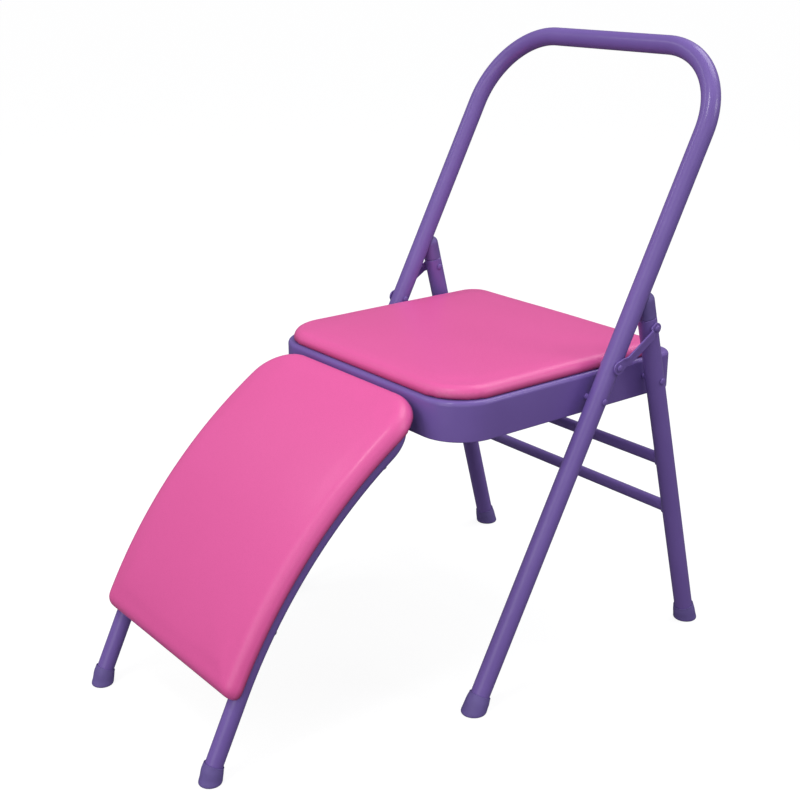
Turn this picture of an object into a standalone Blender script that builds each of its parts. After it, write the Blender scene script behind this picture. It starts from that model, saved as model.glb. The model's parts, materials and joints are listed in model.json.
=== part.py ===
"""Folding yoga chair with an arched front rest that hooks on its seat.

Metres, +Z up, the front of the seat towards -Y, right is +X. The origin is the middle of the
footprint, on the floor. Side views below are given as (y, z) measured from the front feet, and
placed() moves them into the frame of the part.
"""

import math

import bmesh
import bpy
import numpy as np
from mathutils import Matrix, Vector

# Tubes and their spacing
TUBE_RADIUS = 0.0125
TUBE_WALL = 0.0013
HALF_SPACING = 0.2138
HOOP_HEIGHT = 0.790
HOOP_CORNER = 0.110
FRONT_LEAN = math.radians(27.83)
REAR_LEAN = math.radians(14.70)
REAR_FOOT_Y = 0.4038
STRETCHER_RADIUS = 0.008
STRETCHER_SEAT = 0.7
UPPER_STRETCHER_Z = 0.2584
LOWER_STRETCHER_Z = 0.1832

# Heights of the four pivots of each side, all on the tube centrelines
SEAT_PIVOT_Z = 0.3742
LEG_PIVOT_Z = 0.3798
LINK_LOWER_Z = 0.4150
LINK_UPPER_Z = 0.4550

# Seat pan, pressed from sheet, and the spacers between its skirt and the tubes
SPACER_LENGTH = 0.0073
SPACER_RADIUS = 0.0045
PAN_FRONT_Y = -0.0217
PAN_REAR_Y = 0.367
PAN_TOP_Z = 0.4037
PAN_DEPTH = 0.051
PAN_SHEET = 0.0015
PAN_EDGE = 0.006
PAN_LIP = 0.007
PAN_FRONT_CORNER = 0.058
PAN_REAR_CORNER = 0.024

# Seat cushion, the board inside it and its screws
CUSHION_RIM = 0.0075
CUSHION_REAR_LEDGE = 0.022
CUSHION_FRONT_CORNER = 0.0585
CUSHION_THICK = 0.0198
SEAT_BOARD_INSET = 0.020
SEAT_BOARD_THICK = 0.006
SEAT_SCREW_FROM_SIDE = 0.081
SEAT_SCREW_FROM_END = 0.087
SCREW_BITE = 0.75

# Shape of a stuffed edge: tucked in below, widest low down, rolled over, and a crown on top
TUCK = 0.0034
WIDEST = 0.22
ROLL = 0.0215
CROWN = 0.0035

# Plates inside the pan
PLATE_THICK = 0.0025
PLATE_HALF_HEIGHT = 0.014
PLATE_CORNER = 0.008
PLATE_REACH = 0.024

# Arched front rest: its tube bends in a side view from the floor up to a crossbar
REST_TUBE_RADIUS = 0.011
REST_HALF_SPACING = 0.138
REST_LEG_SLOPE = math.radians(64.2)
REST_BEND_Y = -0.2935
REST_BEND_Z = 0.097
REST_ARCH_RADIUS = 0.632
REST_CROSSBAR_Y = -0.040
REST_CORNER = 0.045
PAD_OVERHANG = 0.019
PAD_BEYOND_BAR = 0.0255
PAD_BASE = 0.0088
PAD_THICK = 0.0215
PAD_FOOT_CORNER = 0.017
PAD_SEAT_CORNER = 0.058
REST_BOARD_INSET = 0.012
REST_BOARD_BASE = 0.0114
REST_BOARD_THICK = 0.006
REST_SCREW_LOWER = 0.084
REST_SCREW_UPPER = 0.320

# Hooks that carry the crossbar
HOOK_X = 0.065
HOOK_HALF_WIDTH = 0.010
HOOK_THICK = 0.003
HOOK_RISE = 0.017
HOOK_WRAP = math.radians(42)
HOOK_JOGGLE = ((0.0, 0.10), (0.35, 0.42), (1.35, 0.66))

# Rivets, screws and hinge links
RIVET_RADIUS = 0.0030
RIVET_HEAD_RADIUS = 0.0047
RIVET_HEAD_HEIGHT = 0.0023
SCREW_RADIUS = 0.0022
SCREW_HEAD_RADIUS = 0.0042
SCREW_HEAD_HEIGHT = 0.0024
LINK_THICK = 0.0024
LINK_LOWER_RADIUS = 0.0098
LINK_UPPER_RADIUS = 0.0086
LINK_HALF_WIDTH = 0.0068
LINK_RAISE = 0.0030
LINK_EDGE_RAISE = 0.0014
LINK_EDGE_START = 0.0024
LINK_STEP = 0.0060

# Rubber feet and the caps on the rear legs
FOOT_SPREAD = 0.00375
FOOT_COLLAR = 0.0013
FOOT_HEIGHT = 0.0245
FOOT_SOLE = 0.0100
FOOT_WIDEST = 0.07
REST_FOOT_SPREAD = 0.0030
REST_FOOT_SET_BACK = 0.0042
CAP_SEAM_Z = 0.4673
CAP_LENGTH = 0.0345
CAP_SHOULDER = 0.70
CAP_STEM = 0.0055

# Clearance between pieces that touch, and how finely round shapes are divided
GAP = 0.0003
SIDES = 20
SMALL_SIDES = 12
BEND_STEPS = 10
ARCH_STEPS = 12
CORNER_STEPS = 6
EDGE_STEPS = 5
LEAST_RADIUS = 0.003
SMOOTH_BELOW = math.radians(32)
MERGE = 0.000001

PAN_HALF = HALF_SPACING - TUBE_RADIUS - SPACER_LENGTH
PAD_HALF = REST_HALF_SPACING + PAD_OVERHANG
REST_FOOT_RADIUS = REST_TUBE_RADIUS + REST_FOOT_SPREAD
REST_FOOT_Y = REST_BEND_Y - REST_BEND_Z / math.tan(REST_LEG_SLOPE)
HOOP_TOP_Y = HOOP_HEIGHT * math.tan(FRONT_LEAN)
WIDEST_Y = REST_FOOT_SET_BACK + FOOT_WIDEST * FOOT_HEIGHT * math.cos(REST_LEG_SLOPE)
FOREMOST_Y = REST_FOOT_Y + WIDEST_Y - REST_FOOT_RADIUS
SHIFT_Y = -(FOREMOST_Y + HOOP_TOP_Y + TUBE_RADIUS) / 2

VIOLET = (0.190, 0.120, 0.430, 1.0)
DARK_VIOLET = (0.120, 0.085, 0.270, 1.0)
PINK = (0.790, 0.130, 0.370, 1.0)
WOOD = (0.520, 0.360, 0.200, 1.0)
STEEL = (0.560, 0.560, 0.580, 1.0)
PAINTED = (VIOLET, 0.0, 0.35)
RUBBER = (DARK_VIOLET, 0.0, 0.60)
VINYL = (PINK, 0.0, 0.45)
PLYWOOD = (WOOD, 0.0, 0.70)
PLATED = (STEEL, 1.0, 0.30)

ALONG_X = Vector((1, 0, 0))
ALONG_Z = Vector((0, 0, 1))
SIDES_OF_CHAIR = (("right", 1), ("left", -1))


def placed(x, y, z):
    """A point of the side view, at sideways distance x, in the frame of the part."""
    return Vector((x, y + SHIFT_Y, z))


def on_front_tube(height):
    """The middle of the front tubes' centrelines at this height."""
    return placed(0, height * math.tan(FRONT_LEAN), height)


def on_rear_leg(height):
    """The middle of the rear legs' centrelines at this height."""
    return placed(0, REAR_FOOT_Y - height * math.tan(REAR_LEAN), height)


SEAT_AXIS = on_front_tube(SEAT_PIVOT_Z)
LEG_AXIS = on_rear_leg(LEG_PIVOT_Z)
LINK_AXIS = on_front_tube(LINK_LOWER_Z)
LINK_END = on_rear_leg(LINK_UPPER_Z)
FRAME_ORIGIN = Vector((0, 0, 0))
FRONT_UP = Vector((0, math.sin(FRONT_LEAN), math.cos(FRONT_LEAN)))
REAR_UP = Vector((0, -math.sin(REAR_LEAN), math.cos(REAR_LEAN)))
REST_UP = Vector((0, math.cos(REST_LEG_SLOPE), math.sin(REST_LEG_SLOPE)))


def clear_scene():
    """Empties the scene of whatever it opened with."""
    for old in list(bpy.data.objects):
        bpy.data.objects.remove(old, do_unlink=True)


def own_material(name, finish):
    """One material of its own for each object: colour, metalness and roughness."""
    colour, metal, rough = finish
    material = bpy.data.materials.new(name)
    material.use_nodes = True
    shader = material.node_tree.nodes["Principled BSDF"]
    shader.inputs["Base Color"].default_value = colour
    shader.inputs["Metallic"].default_value = metal
    shader.inputs["Roughness"].default_value = rough
    return material


def add_piece(name, work, finish, pivot):
    """An object from a mesh modelled where it stands, whose origin lies on the pivot."""
    bmesh.ops.remove_doubles(work, verts=work.verts, dist=MERGE)
    bmesh.ops.recalc_face_normals(work, faces=work.faces)
    bmesh.ops.translate(work, verts=work.verts, vec=-pivot)
    mesh = bpy.data.meshes.new(name)
    work.to_mesh(mesh)
    work.free()
    mesh.shade_smooth()
    mesh.set_sharp_from_angle(angle=SMOOTH_BELOW)
    mesh.materials.append(own_material(name, finish))
    piece = bpy.data.objects.new(name, mesh)
    piece.location = pivot
    bpy.context.scene.collection.objects.link(piece)
    return piece


def add_wall(piece, thickness):
    """Turns a sheet into a wall, half of it on each side of the sheet."""
    wall = piece.modifiers.new("wall", "SOLIDIFY")
    wall.thickness = thickness
    wall.offset = 0
    wall.use_even_offset = True
    return piece


def cut(piece, cutter):
    """Takes the cutter out of the piece and hides the cutter."""
    cutter.hide_render = True
    cutter.display_type = "WIRE"
    step = piece.modifiers.new("cut", "BOOLEAN")
    step.operation = "DIFFERENCE"
    step.solver = "EXACT"
    step.object = cutter


def round_bar(name, start, end, radius, sides):
    """A plain round bar between two points, used to cut other pieces."""
    along = end - start
    turn = along.to_track_quat("Z", "Y").to_matrix().to_4x4()
    place = Matrix.Translation((start + end) / 2) @ turn
    size = {"radius1": radius, "radius2": radius, "depth": along.length}
    work = bmesh.new()
    bmesh.ops.create_cone(work, cap_ends=True, segments=sides, matrix=place, **size)
    return add_piece(name, work, PLATED, FRAME_ORIGIN)


def drill(piece, middle, axis, radius, reach):
    """A round hole through the piece, reaching both ways from the middle."""
    name = piece.name + "_drill"
    cut(piece, round_bar(name, middle - axis * reach, middle + axis * reach, radius, SMALL_SIDES))


def turned(name, start, axis, profile, finish, pivot, sides=SMALL_SIDES):
    """A turned piece: its profile lists (radius, distance along the axis) from one end on."""
    work = bmesh.new()
    sideways = axis.orthogonal().normalized()
    line = [work.verts.new(start + axis * along + sideways * out) for out, along in profile]
    edges = [work.edges.new(pair) for pair in zip(line, line[1:])]
    turn = {"cent": start, "axis": axis, "angle": 2 * math.pi, "steps": sides}
    bmesh.ops.spin(work, geom=line + edges, use_merge=True, **turn)
    return add_piece(name, work, finish, pivot)


def bevelled_line(path, radius, sides, capped=False):
    """The skin of a round rod along a path, from a curve with a round bevel."""
    curve = bpy.data.curves.new("line", "CURVE")
    curve.dimensions = "3D"
    curve.bevel_depth = radius
    curve.bevel_resolution = (sides - 4) // 2
    curve.use_fill_caps = capped
    spline = curve.splines.new("POLY")
    spline.points.add(len(path) - 1)
    for point, spot in zip(spline.points, path):
        point.co = (*spot, 1)
    guide = bpy.data.objects.new("line", curve)
    skin = bpy.data.meshes.new_from_object(guide)
    work = bmesh.new()
    work.from_mesh(skin)
    bpy.data.objects.remove(guide)
    return work


def hollow_tube(name, path, radius, pivot, sides=SIDES):
    """A painted tube with open ends along a path."""
    work = bevelled_line(path, radius - TUBE_WALL / 2, sides)
    return add_wall(add_piece(name, work, PAINTED, pivot), TUBE_WALL)


def lofted(rings):
    """A closed skin over rings with equally many points: an end face extruded from each ring
    to the next, and a face over the first one."""
    work = bmesh.new()
    end = work.faces.new([work.verts.new(spot) for spot in rings[0]])
    for ring in rings[1:]:
        end = bmesh.ops.extrude_discrete_faces(work, faces=[end])["faces"][0]
        for vert, spot in zip(end.verts, ring):
            vert.co = spot
    bmesh.ops.holes_fill(work, edges=[edge for edge in work.edges if edge.is_boundary])
    return work


def cut_across(work, axis, places):
    """Cuts every face where it crosses planes at these places along X (0), Y (1) or Z (2)."""
    normal = Vector([float(axis == n) for n in range(3)])
    for place in places:
        everything = work.verts[:] + work.edges[:] + work.faces[:]
        bmesh.ops.bisect_plane(work, geom=everything, plane_co=normal * place, plane_no=normal)


def rounded_plate(half, front, rear, front_corner, rear_corner):
    """A flat face: a rectangle whose four corners are rounded by a bevel of its vertices."""
    work = bmesh.new()
    spots = ((half, front), (-half, front), (-half, rear), (half, rear))
    corners = [work.verts.new((x, y, 0)) for x, y in spots]
    work.faces.new(corners)
    rounding = {"offset_type": "OFFSET", "segments": CORNER_STEPS, "profile": 0.5}
    for pair, radius in ((corners[:2], front_corner), (corners[2:], rear_corner)):
        bmesh.ops.bevel(work, geom=pair, offset=radius, affect="VERTICES", **rounding)
    return work


def thicken(work, height):
    """Extrudes a flat face upwards."""
    made = bmesh.ops.extrude_face_region(work, geom=work.faces[:])["geom"]
    raised = [item for item in made if isinstance(item, bmesh.types.BMVert)]
    bmesh.ops.translate(work, verts=raised, vec=ALONG_Z * height)


def rounded_outline(half, front, rear, front_corner, rear_corner, inset):
    """Rounded rectangle drawn in by inset, round by +X, as (x, y) rows."""
    near = max(front_corner - inset, LEAST_RADIUS)
    far = max(rear_corner - inset, LEAST_RADIUS)
    turn = np.linspace(0, math.pi / 2, CORNER_STEPS + 1)
    side = half - inset
    low = [(side - near + near * math.sin(a), front + inset + near - near * math.cos(a)) for a in turn]
    high = [(side - far + far * math.cos(a), rear - inset - far + far * math.sin(a)) for a in turn]
    right = np.array(low + high)
    return np.concatenate([right, right[::-1] * np.array((-1.0, 1.0))])


def stuffed(plan, thick, pocket_inset, pocket_depth):
    """A cushion laid flat: a pocket for its board below, a tucked edge that rolls over to the
    top, and a crown that falls off with the square of the distance from the middle."""
    half, front, rear = plan[:3]
    widest = thick * WIDEST
    shoulder = thick - CROWN
    quarter = np.linspace(0, math.pi / 2, EDGE_STEPS)
    rows = [(pocket_inset, pocket_depth), (pocket_inset, 0.0)]
    rows += [(TUCK * (1 - math.sin(a)), widest * (1 - math.cos(a))) for a in quarter]
    over = np.linspace(0, math.pi / 2, EDGE_STEPS + 2)[1:]
    rows += [(ROLL * (1 - math.cos(a)), widest + (shoulder - widest) * math.sin(a)) for a in over]
    rings = []
    for inset, height in rows:
        rings.append([(x, y, height) for x, y in rounded_outline(*plan, inset)])
    work = lofted(rings)
    shares = np.linspace(-1, 1, EDGE_STEPS + 2)[1:-1]
    middle = (front + rear) / 2
    reach = (rear - front) / 2 - ROLL
    cut_across(work, 0, shares * (half - ROLL))
    cut_across(work, 1, np.linspace(front, rear, ARCH_STEPS)[1:-1])
    for vert in work.verts:
        if vert.co.z > shoulder - MERGE:
            across = min(abs(vert.co.x) / (half - ROLL), 1)
            along = min(abs(vert.co.y - middle) / reach, 1)
            vert.co.z += CROWN * (1 - across**2) * (1 - along**2)
    return work


def over_arch(x, along, lift):
    """A point of the front rest: distance along the arch from its lower end, lifted off the tube."""
    bent = max(along, 0)
    straight = min(along, 0)
    slope = REST_LEG_SLOPE - bent / REST_ARCH_RADIUS
    y = REST_BEND_Y + REST_ARCH_RADIUS * (math.sin(REST_LEG_SLOPE) - math.sin(slope))
    z = REST_BEND_Z + REST_ARCH_RADIUS * (math.cos(slope) - math.cos(REST_LEG_SLOPE))
    y += straight * math.cos(REST_LEG_SLOPE) - lift * math.sin(slope)
    z += straight * math.sin(REST_LEG_SLOPE) + lift * math.cos(slope)
    return placed(x, y, z)


def bend_over_arch(work, base):
    """Bends a mesh laid flat, y being the distance along the arch and z the height above base."""
    for vert in work.verts:
        vert.co = over_arch(vert.co.x, vert.co.y, vert.co.z + base)


def arch_length(y):
    """Distance along the arch at which its centreline passes this y."""
    sine = math.sin(REST_LEG_SLOPE) - (y - REST_BEND_Y) / REST_ARCH_RADIUS
    return REST_ARCH_RADIUS * (REST_LEG_SLOPE - math.asin(sine))


CROSSBAR_ALONG = arch_length(REST_CROSSBAR_Y)
REST_AXIS = over_arch(0, CROSSBAR_ALONG, 0)
PAD_LENGTH = CROSSBAR_ALONG + PAD_BEYOND_BAR
PAD_PLAN = (PAD_HALF, 0, PAD_LENGTH, PAD_FOOT_CORNER, PAD_SEAT_CORNER)
PAN_PLAN = (PAN_HALF, PAN_FRONT_Y, PAN_REAR_Y, PAN_FRONT_CORNER, PAN_REAR_CORNER)
CUSHION_PLAN = (
    PAN_HALF - CUSHION_RIM,
    PAN_FRONT_Y + CUSHION_RIM,
    PAN_REAR_Y - CUSHION_REAR_LEDGE,
    CUSHION_FRONT_CORNER,
    PAN_REAR_CORNER + CUSHION_RIM,
)


def drawn_in(plan, inset):
    """The same plan, drawn in all round."""
    half, front, rear, front_corner, rear_corner = plan
    return half - inset, front + inset, rear - inset, front_corner - inset, rear_corner - inset


def dome(base_radius, start, height):
    """Profile of a button head from its edge up to its crown on the axis."""
    bends = np.linspace(0, math.pi / 2, EDGE_STEPS)
    rim = [(base_radius * math.cos(a), start + height * math.sin(a)) for a in bends[:-1]]
    return rim + [(0.0, start + height)]


def rivet(name, point, sign, outer, inner, pivot):
    """A rivet along X with a domed head at both ends, clamping from inner to outer distance."""
    head = dome(RIVET_HEAD_RADIUS, GAP, RIVET_HEAD_HEIGHT)
    profile = [(radius, inner - along) for radius, along in head[::-1]]
    profile += [(RIVET_RADIUS, inner - GAP), (RIVET_RADIUS, outer + GAP)]
    profile += [(radius, outer + along) for radius, along in head]
    return turned(name, point, ALONG_X * sign, profile, PAINTED, pivot)


def screw(name, start, axis, length, pivot):
    """A round-headed screw with its head below start and its shank along the axis."""
    head = dome(SCREW_HEAD_RADIUS, 0, SCREW_HEAD_HEIGHT)
    profile = [(radius, -along) for radius, along in head[::-1]]
    profile += [(SCREW_RADIUS, 0.0), (SCREW_RADIUS, length), (0.0, length)]
    return turned(name, start, axis, profile, PLATED, pivot)


def rubber_foot(name, floor_point, up, tube_radius, pivot, flare=FOOT_SPREAD, set_back=0.0):
    """A flared foot: its sole lies flat on the floor and its collar stands square to the tube."""
    spread = tube_radius + flare
    collar = tube_radius + FOOT_COLLAR
    bore = tube_radius + GAP
    # Each row gives distance along the tube, radius, and how square to the tube the ring stands
    rows = [(0.0, spread - FOOT_COLLAR, 0.0), (FOOT_HEIGHT * FOOT_WIDEST, spread, 0.0)]
    for share in (1 / 3, 2 / 3):
        narrowed = spread + (collar - spread) * share**2
        rows.append((FOOT_HEIGHT * share, narrowed, share))
    rows += [(FOOT_HEIGHT - FOOT_COLLAR, collar, 1.0), (FOOT_HEIGHT, collar - GAP, 1.0)]
    rows += [(FOOT_HEIGHT, bore, 1.0), (FOOT_SOLE, bore, 1.0)]
    turn = np.linspace(0, 2 * math.pi, SIDES, endpoint=False)
    rings = []
    for along, radius, square in rows:
        facing = ALONG_Z.lerp(up, square).normalized()
        sideways = facing.cross(ALONG_X)
        middle = floor_point + up * along + Vector((0, set_back * (1 - square), 0))
        ring = [middle + (ALONG_X * math.cos(a) + sideways * math.sin(a)) * radius for a in turn]
        rings.append(ring)
    return add_piece(name, lofted(rings), RUBBER, pivot)


def hoop_path():
    """Centreline of the front hoop, up the right leg, over the top bar and down the left leg."""
    top = HOOP_HEIGHT / math.cos(FRONT_LEAN)
    right = [(HALF_SPACING, FOOT_SOLE + GAP)]
    for a in np.linspace(0, math.pi / 2, BEND_STEPS + 1):
        across = HALF_SPACING - HOOP_CORNER + HOOP_CORNER * math.cos(a)
        right.append((across, top - HOOP_CORNER + HOOP_CORNER * math.sin(a)))
    left = [(-x, along) for x, along in right[::-1]]
    return [placed(0, 0, 0) + ALONG_X * x + FRONT_UP * along for x, along in right + left]


def rest_path():
    """Centreline of the tube of the front rest, up one leg, over the arch and down the other."""
    leg_start = FOOT_SOLE + GAP - REST_BEND_Z / math.sin(REST_LEG_SLOPE)
    right = [(REST_HALF_SPACING, leg_start)]
    for along in np.linspace(0, CROSSBAR_ALONG - REST_CORNER, ARCH_STEPS)[:-1]:
        right.append((REST_HALF_SPACING, along))
    for a in np.linspace(0, math.pi / 2, BEND_STEPS // 2 + 1):
        across = REST_HALF_SPACING - REST_CORNER + REST_CORNER * math.cos(a)
        right.append((across, CROSSBAR_ALONG - REST_CORNER + REST_CORNER * math.sin(a)))
    left = [(-x, along) for x, along in right[::-1]]
    return [over_arch(x, along, 0) for x, along in right + left]


def leg_line(sign, start, end):
    """Centreline of a rear leg between two distances from the floor."""
    floor = placed(sign * HALF_SPACING, REAR_FOOT_Y, 0)
    return [floor + REAR_UP * start, floor + REAR_UP * end]


def build_front_frame():
    """The hoop that is both front legs and backrest, its feet, and the rivets fixed in it."""
    hoop = hollow_tube("front_hoop", hoop_path(), TUBE_RADIUS, FRAME_ORIGIN)
    hole = RIVET_RADIUS + GAP
    inner = HALF_SPACING - TUBE_RADIUS
    outer = HALF_SPACING + TUBE_RADIUS
    inside_plate = PAN_HALF - PAN_SHEET - PLATE_THICK - GAP
    over_link = outer + GAP + LINK_THICK
    for side, sign in SIDES_OF_CHAIR:
        floor = placed(sign * HALF_SPACING, 0, 0)
        rubber_foot("front_foot_" + side, floor, FRONT_UP, TUBE_RADIUS, FRAME_ORIGIN)
        drilled = ALONG_X * sign * HALF_SPACING
        drill(hoop, SEAT_AXIS + drilled, ALONG_X, hole, 2 * TUBE_RADIUS)
        drill(hoop, LINK_AXIS + drilled, ALONG_X, hole, 2 * TUBE_RADIUS)
        rivet("seat_rivet_" + side, SEAT_AXIS, sign, outer, inside_plate, FRAME_ORIGIN)
        rivet("link_rivet_" + side, LINK_AXIS, sign, over_link, inner, FRAME_ORIGIN)


def pressed_shell():
    """The pan's sheet: a plate drawn down into a skirt, its rim rolled, a lip turned in below."""
    middle = PAN_SHEET / 2
    work = rounded_plate(*drawn_in(PAN_PLAN, middle))
    thicken(work, middle - PAN_DEPTH + middle)
    top = max(work.faces, key=lambda face: face.calc_center_median().z)
    bottom = min(work.faces, key=lambda face: face.calc_center_median().z)
    bmesh.ops.inset_region(work, faces=[bottom], thickness=PAN_LIP - middle, use_even_offset=True)
    bmesh.ops.delete(work, geom=[bottom], context="FACES")
    rim = {"offset_type": "OFFSET", "segments": EDGE_STEPS, "profile": 0.5}
    bmesh.ops.bevel(work, geom=top.edges[:], offset=PAN_EDGE - middle, affect="EDGES", **rim)
    bmesh.ops.translate(work, verts=work.verts, vec=placed(0, 0, PAN_TOP_Z - middle))
    return work


def build_seat_pan():
    """The pressed pan with holes for the rivets of the front tubes and rear legs."""
    pan = add_wall(add_piece("seat_pan", pressed_shell(), PAINTED, SEAT_AXIS), PAN_SHEET)
    for _, sign in SIDES_OF_CHAIR:
        skirt = ALONG_X * sign * PAN_HALF
        drill(pan, SEAT_AXIS + skirt, ALONG_X, RIVET_RADIUS + GAP, PAN_EDGE)
        drill(pan, LEG_AXIS + skirt, ALONG_X, RIVET_RADIUS + GAP, PAN_EDGE)
    return pan


def build_seat():
    """The pan, the cushion on its board, the plates and spacers at the pivots, and the hooks."""
    pan = build_seat_pan()
    base = placed(0, 0, PAN_TOP_Z + GAP)
    work = stuffed(CUSHION_PLAN, CUSHION_THICK, SEAT_BOARD_INSET, SEAT_BOARD_THICK + GAP)
    bmesh.ops.translate(work, verts=work.verts, vec=base)
    add_piece("seat_cushion", work, VINYL, SEAT_AXIS)
    work = rounded_plate(*drawn_in(CUSHION_PLAN, SEAT_BOARD_INSET + GAP))
    thicken(work, SEAT_BOARD_THICK)
    bmesh.ops.translate(work, verts=work.verts, vec=base)
    board = add_piece("seat_board", work, PLYWOOD, SEAT_AXIS)
    under = PAN_TOP_Z - PAN_SHEET - GAP
    length = PAN_SHEET + 2 * GAP + SEAT_BOARD_THICK * SCREW_BITE
    rows = (("front", PAN_FRONT_Y + SEAT_SCREW_FROM_END), ("rear", PAN_REAR_Y - SEAT_SCREW_FROM_END))
    for row, y in rows:
        for side, sign in SIDES_OF_CHAIR:
            spot = placed(sign * (PAN_HALF - SEAT_SCREW_FROM_SIDE), y, under)
            screw("seat_screw_" + row + "_" + side, spot, ALONG_Z, length, SEAT_AXIS)
            drill(pan, spot, ALONG_Z, SCREW_RADIUS + GAP, 3 * PAN_SHEET)
            drill(board, spot, ALONG_Z, SCREW_RADIUS + GAP, length + GAP)
    for side, sign in SIDES_OF_CHAIR:
        build_pivot_plate(side, sign)
        build_hook("rest_hook_" + side, sign * HOOK_X)


def build_pivot_plate(side, sign):
    """A stiffening plate inside the skirt, and spacer rings that keep the tubes clear of it."""
    hole = RIVET_RADIUS + GAP
    outer_x = PAN_HALF - PAN_SHEET - GAP
    middle = (SEAT_AXIS + LEG_AXIS) / 2 + ALONG_X * sign * (outer_x - PLATE_THICK / 2)
    long = LEG_AXIS.y - SEAT_AXIS.y + 2 * PLATE_REACH
    size = Matrix.Diagonal((PLATE_THICK, long, 2 * PLATE_HALF_HEIGHT, 1))
    work = bmesh.new()
    bmesh.ops.create_cube(work, size=1, matrix=Matrix.Translation(middle) @ size)
    edges = [edge for edge in work.edges if abs(edge.verts[0].co.x - edge.verts[1].co.x) > MERGE]
    rounding = {"offset_type": "OFFSET", "segments": EDGE_STEPS, "profile": 0.5}
    bmesh.ops.bevel(work, geom=edges, offset=PLATE_CORNER, affect="EDGES", **rounding)
    plate = add_piece("pivot_plate_" + side, work, PAINTED, SEAT_AXIS)
    near = PAN_HALF + GAP
    far = HALF_SPACING - TUBE_RADIUS - GAP
    ring = [(SPACER_RADIUS, near), (SPACER_RADIUS, far), (hole, far), (hole, near)]
    for label, axis in (("seat", SEAT_AXIS), ("leg", LEG_AXIS)):
        drill(plate, axis + ALONG_X * sign * outer_x, ALONG_X, hole, 2 * PLATE_THICK)
        name = label + "_boss_" + side
        turned(name, axis, ALONG_X * sign, ring + ring[:1], PAINTED, SEAT_AXIS)


def hook_path():
    """Centreline of a hook strip in the side view: down the pan, then under the crossbar."""
    flat_y = PAN_FRONT_Y - GAP - HOOK_THICK / 2
    bar_y = REST_AXIS.y - SHIFT_Y
    bar_z = REST_AXIS.z
    reach = REST_TUBE_RADIUS + GAP + HOOK_THICK / 2
    path = [(flat_y, bar_z + HOOK_RISE)]
    path += [(flat_y - HOOK_THICK * out, bar_z - reach * down) for out, down in HOOK_JOGGLE]
    for a in np.linspace(HOOK_WRAP, -HOOK_WRAP, EDGE_STEPS + 2):
        path.append((bar_y + reach * math.sin(a), bar_z - reach * math.cos(a)))
    return path


def build_hook(name, x):
    """A strip bent into a saddle that the crossbar of the front rest drops into."""
    work = bmesh.new()
    line = [work.verts.new(placed(x - HOOK_HALF_WIDTH, y, z)) for y, z in hook_path()]
    edges = [work.edges.new(pair) for pair in zip(line, line[1:])]
    made = bmesh.ops.extrude_edge_only(work, edges=edges)["geom"]
    moved = [item for item in made if isinstance(item, bmesh.types.BMVert)]
    bmesh.ops.translate(work, verts=moved, vec=ALONG_X * 2 * HOOK_HALF_WIDTH)
    return add_wall(add_piece(name, work, PAINTED, SEAT_AXIS), HOOK_THICK)


def build_rear_legs():
    """The two rear legs, two stretchers between them, caps, feet and their rivets."""
    seam = CAP_SEAM_Z / math.cos(REAR_LEAN)
    hole = RIVET_RADIUS + GAP
    inside_plate = PAN_HALF - PAN_SHEET - PLATE_THICK - GAP
    cutters = []
    for side, sign in SIDES_OF_CHAIR:
        leg = hollow_tube("rear_leg_" + side, leg_line(sign, FOOT_SOLE + GAP, seam), TUBE_RADIUS, LEG_AXIS)
        inner_wall = ALONG_X * sign * (HALF_SPACING - TUBE_RADIUS)
        drill(leg, LEG_AXIS + ALONG_X * sign * HALF_SPACING, ALONG_X, hole, 2 * TUBE_RADIUS)
        drill(leg, LINK_END + inner_wall, ALONG_X, hole, 2 * TUBE_WALL)
        floor = placed(sign * HALF_SPACING, REAR_FOOT_Y, 0)
        rubber_foot("rear_foot_" + side, floor, REAR_UP, TUBE_RADIUS, LEG_AXIS)
        outer = HALF_SPACING + TUBE_RADIUS
        rivet("leg_rivet_" + side, LEG_AXIS, sign, outer, inside_plate, LEG_AXIS)
        stem = [(0.0, -TUBE_WALL), (RIVET_RADIUS, -TUBE_WALL), (RIVET_RADIUS, GAP)]
        button = stem + dome(RIVET_HEAD_RADIUS, GAP, RIVET_HEAD_HEIGHT)
        name = "leg_button_" + side
        turned(name, LINK_END + inner_wall, -ALONG_X * sign, button, PAINTED, LEG_AXIS)
        build_cap(side, sign, seam)
        cutter_name = "leg_cutter_" + side
        cutters.append(round_bar(cutter_name, *leg_line(sign, 0, seam), TUBE_RADIUS + GAP, SIDES))
    reach = HALF_SPACING - TUBE_RADIUS * STRETCHER_SEAT
    for name, height in (("upper", UPPER_STRETCHER_Z), ("lower", LOWER_STRETCHER_Z)):
        middle = on_rear_leg(height)
        ends = [middle - ALONG_X * reach, middle + ALONG_X * reach]
        bar = hollow_tube(name + "_stretcher", ends, STRETCHER_RADIUS, LEG_AXIS)
        for cutter in cutters:
            cut(bar, cutter)


def build_cap(side, sign, seam):
    """A plug with a domed end, hollowed where it stops against the back of the front tube."""
    bore = TUBE_RADIUS - TUBE_WALL - 2 * GAP
    shoulder = CAP_LENGTH * CAP_SHOULDER
    profile = [(0.0, -CAP_STEM), (bore, -CAP_STEM), (bore, GAP), (TUBE_RADIUS, GAP)]
    profile += dome(TUBE_RADIUS, shoulder, CAP_LENGTH - shoulder)
    base = leg_line(sign, 0, seam)[1]
    cap = turned("leg_cap_" + side, base, REAR_UP, profile, RUBBER, LEG_AXIS, sides=SIDES)
    floor = placed(sign * HALF_SPACING, 0, 0)
    top = floor + FRONT_UP * (HOOP_HEIGHT - HOOP_CORNER)
    cut(cap, round_bar("cap_cutter_" + side, floor, top, TUBE_RADIUS + GAP, SIDES))


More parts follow.
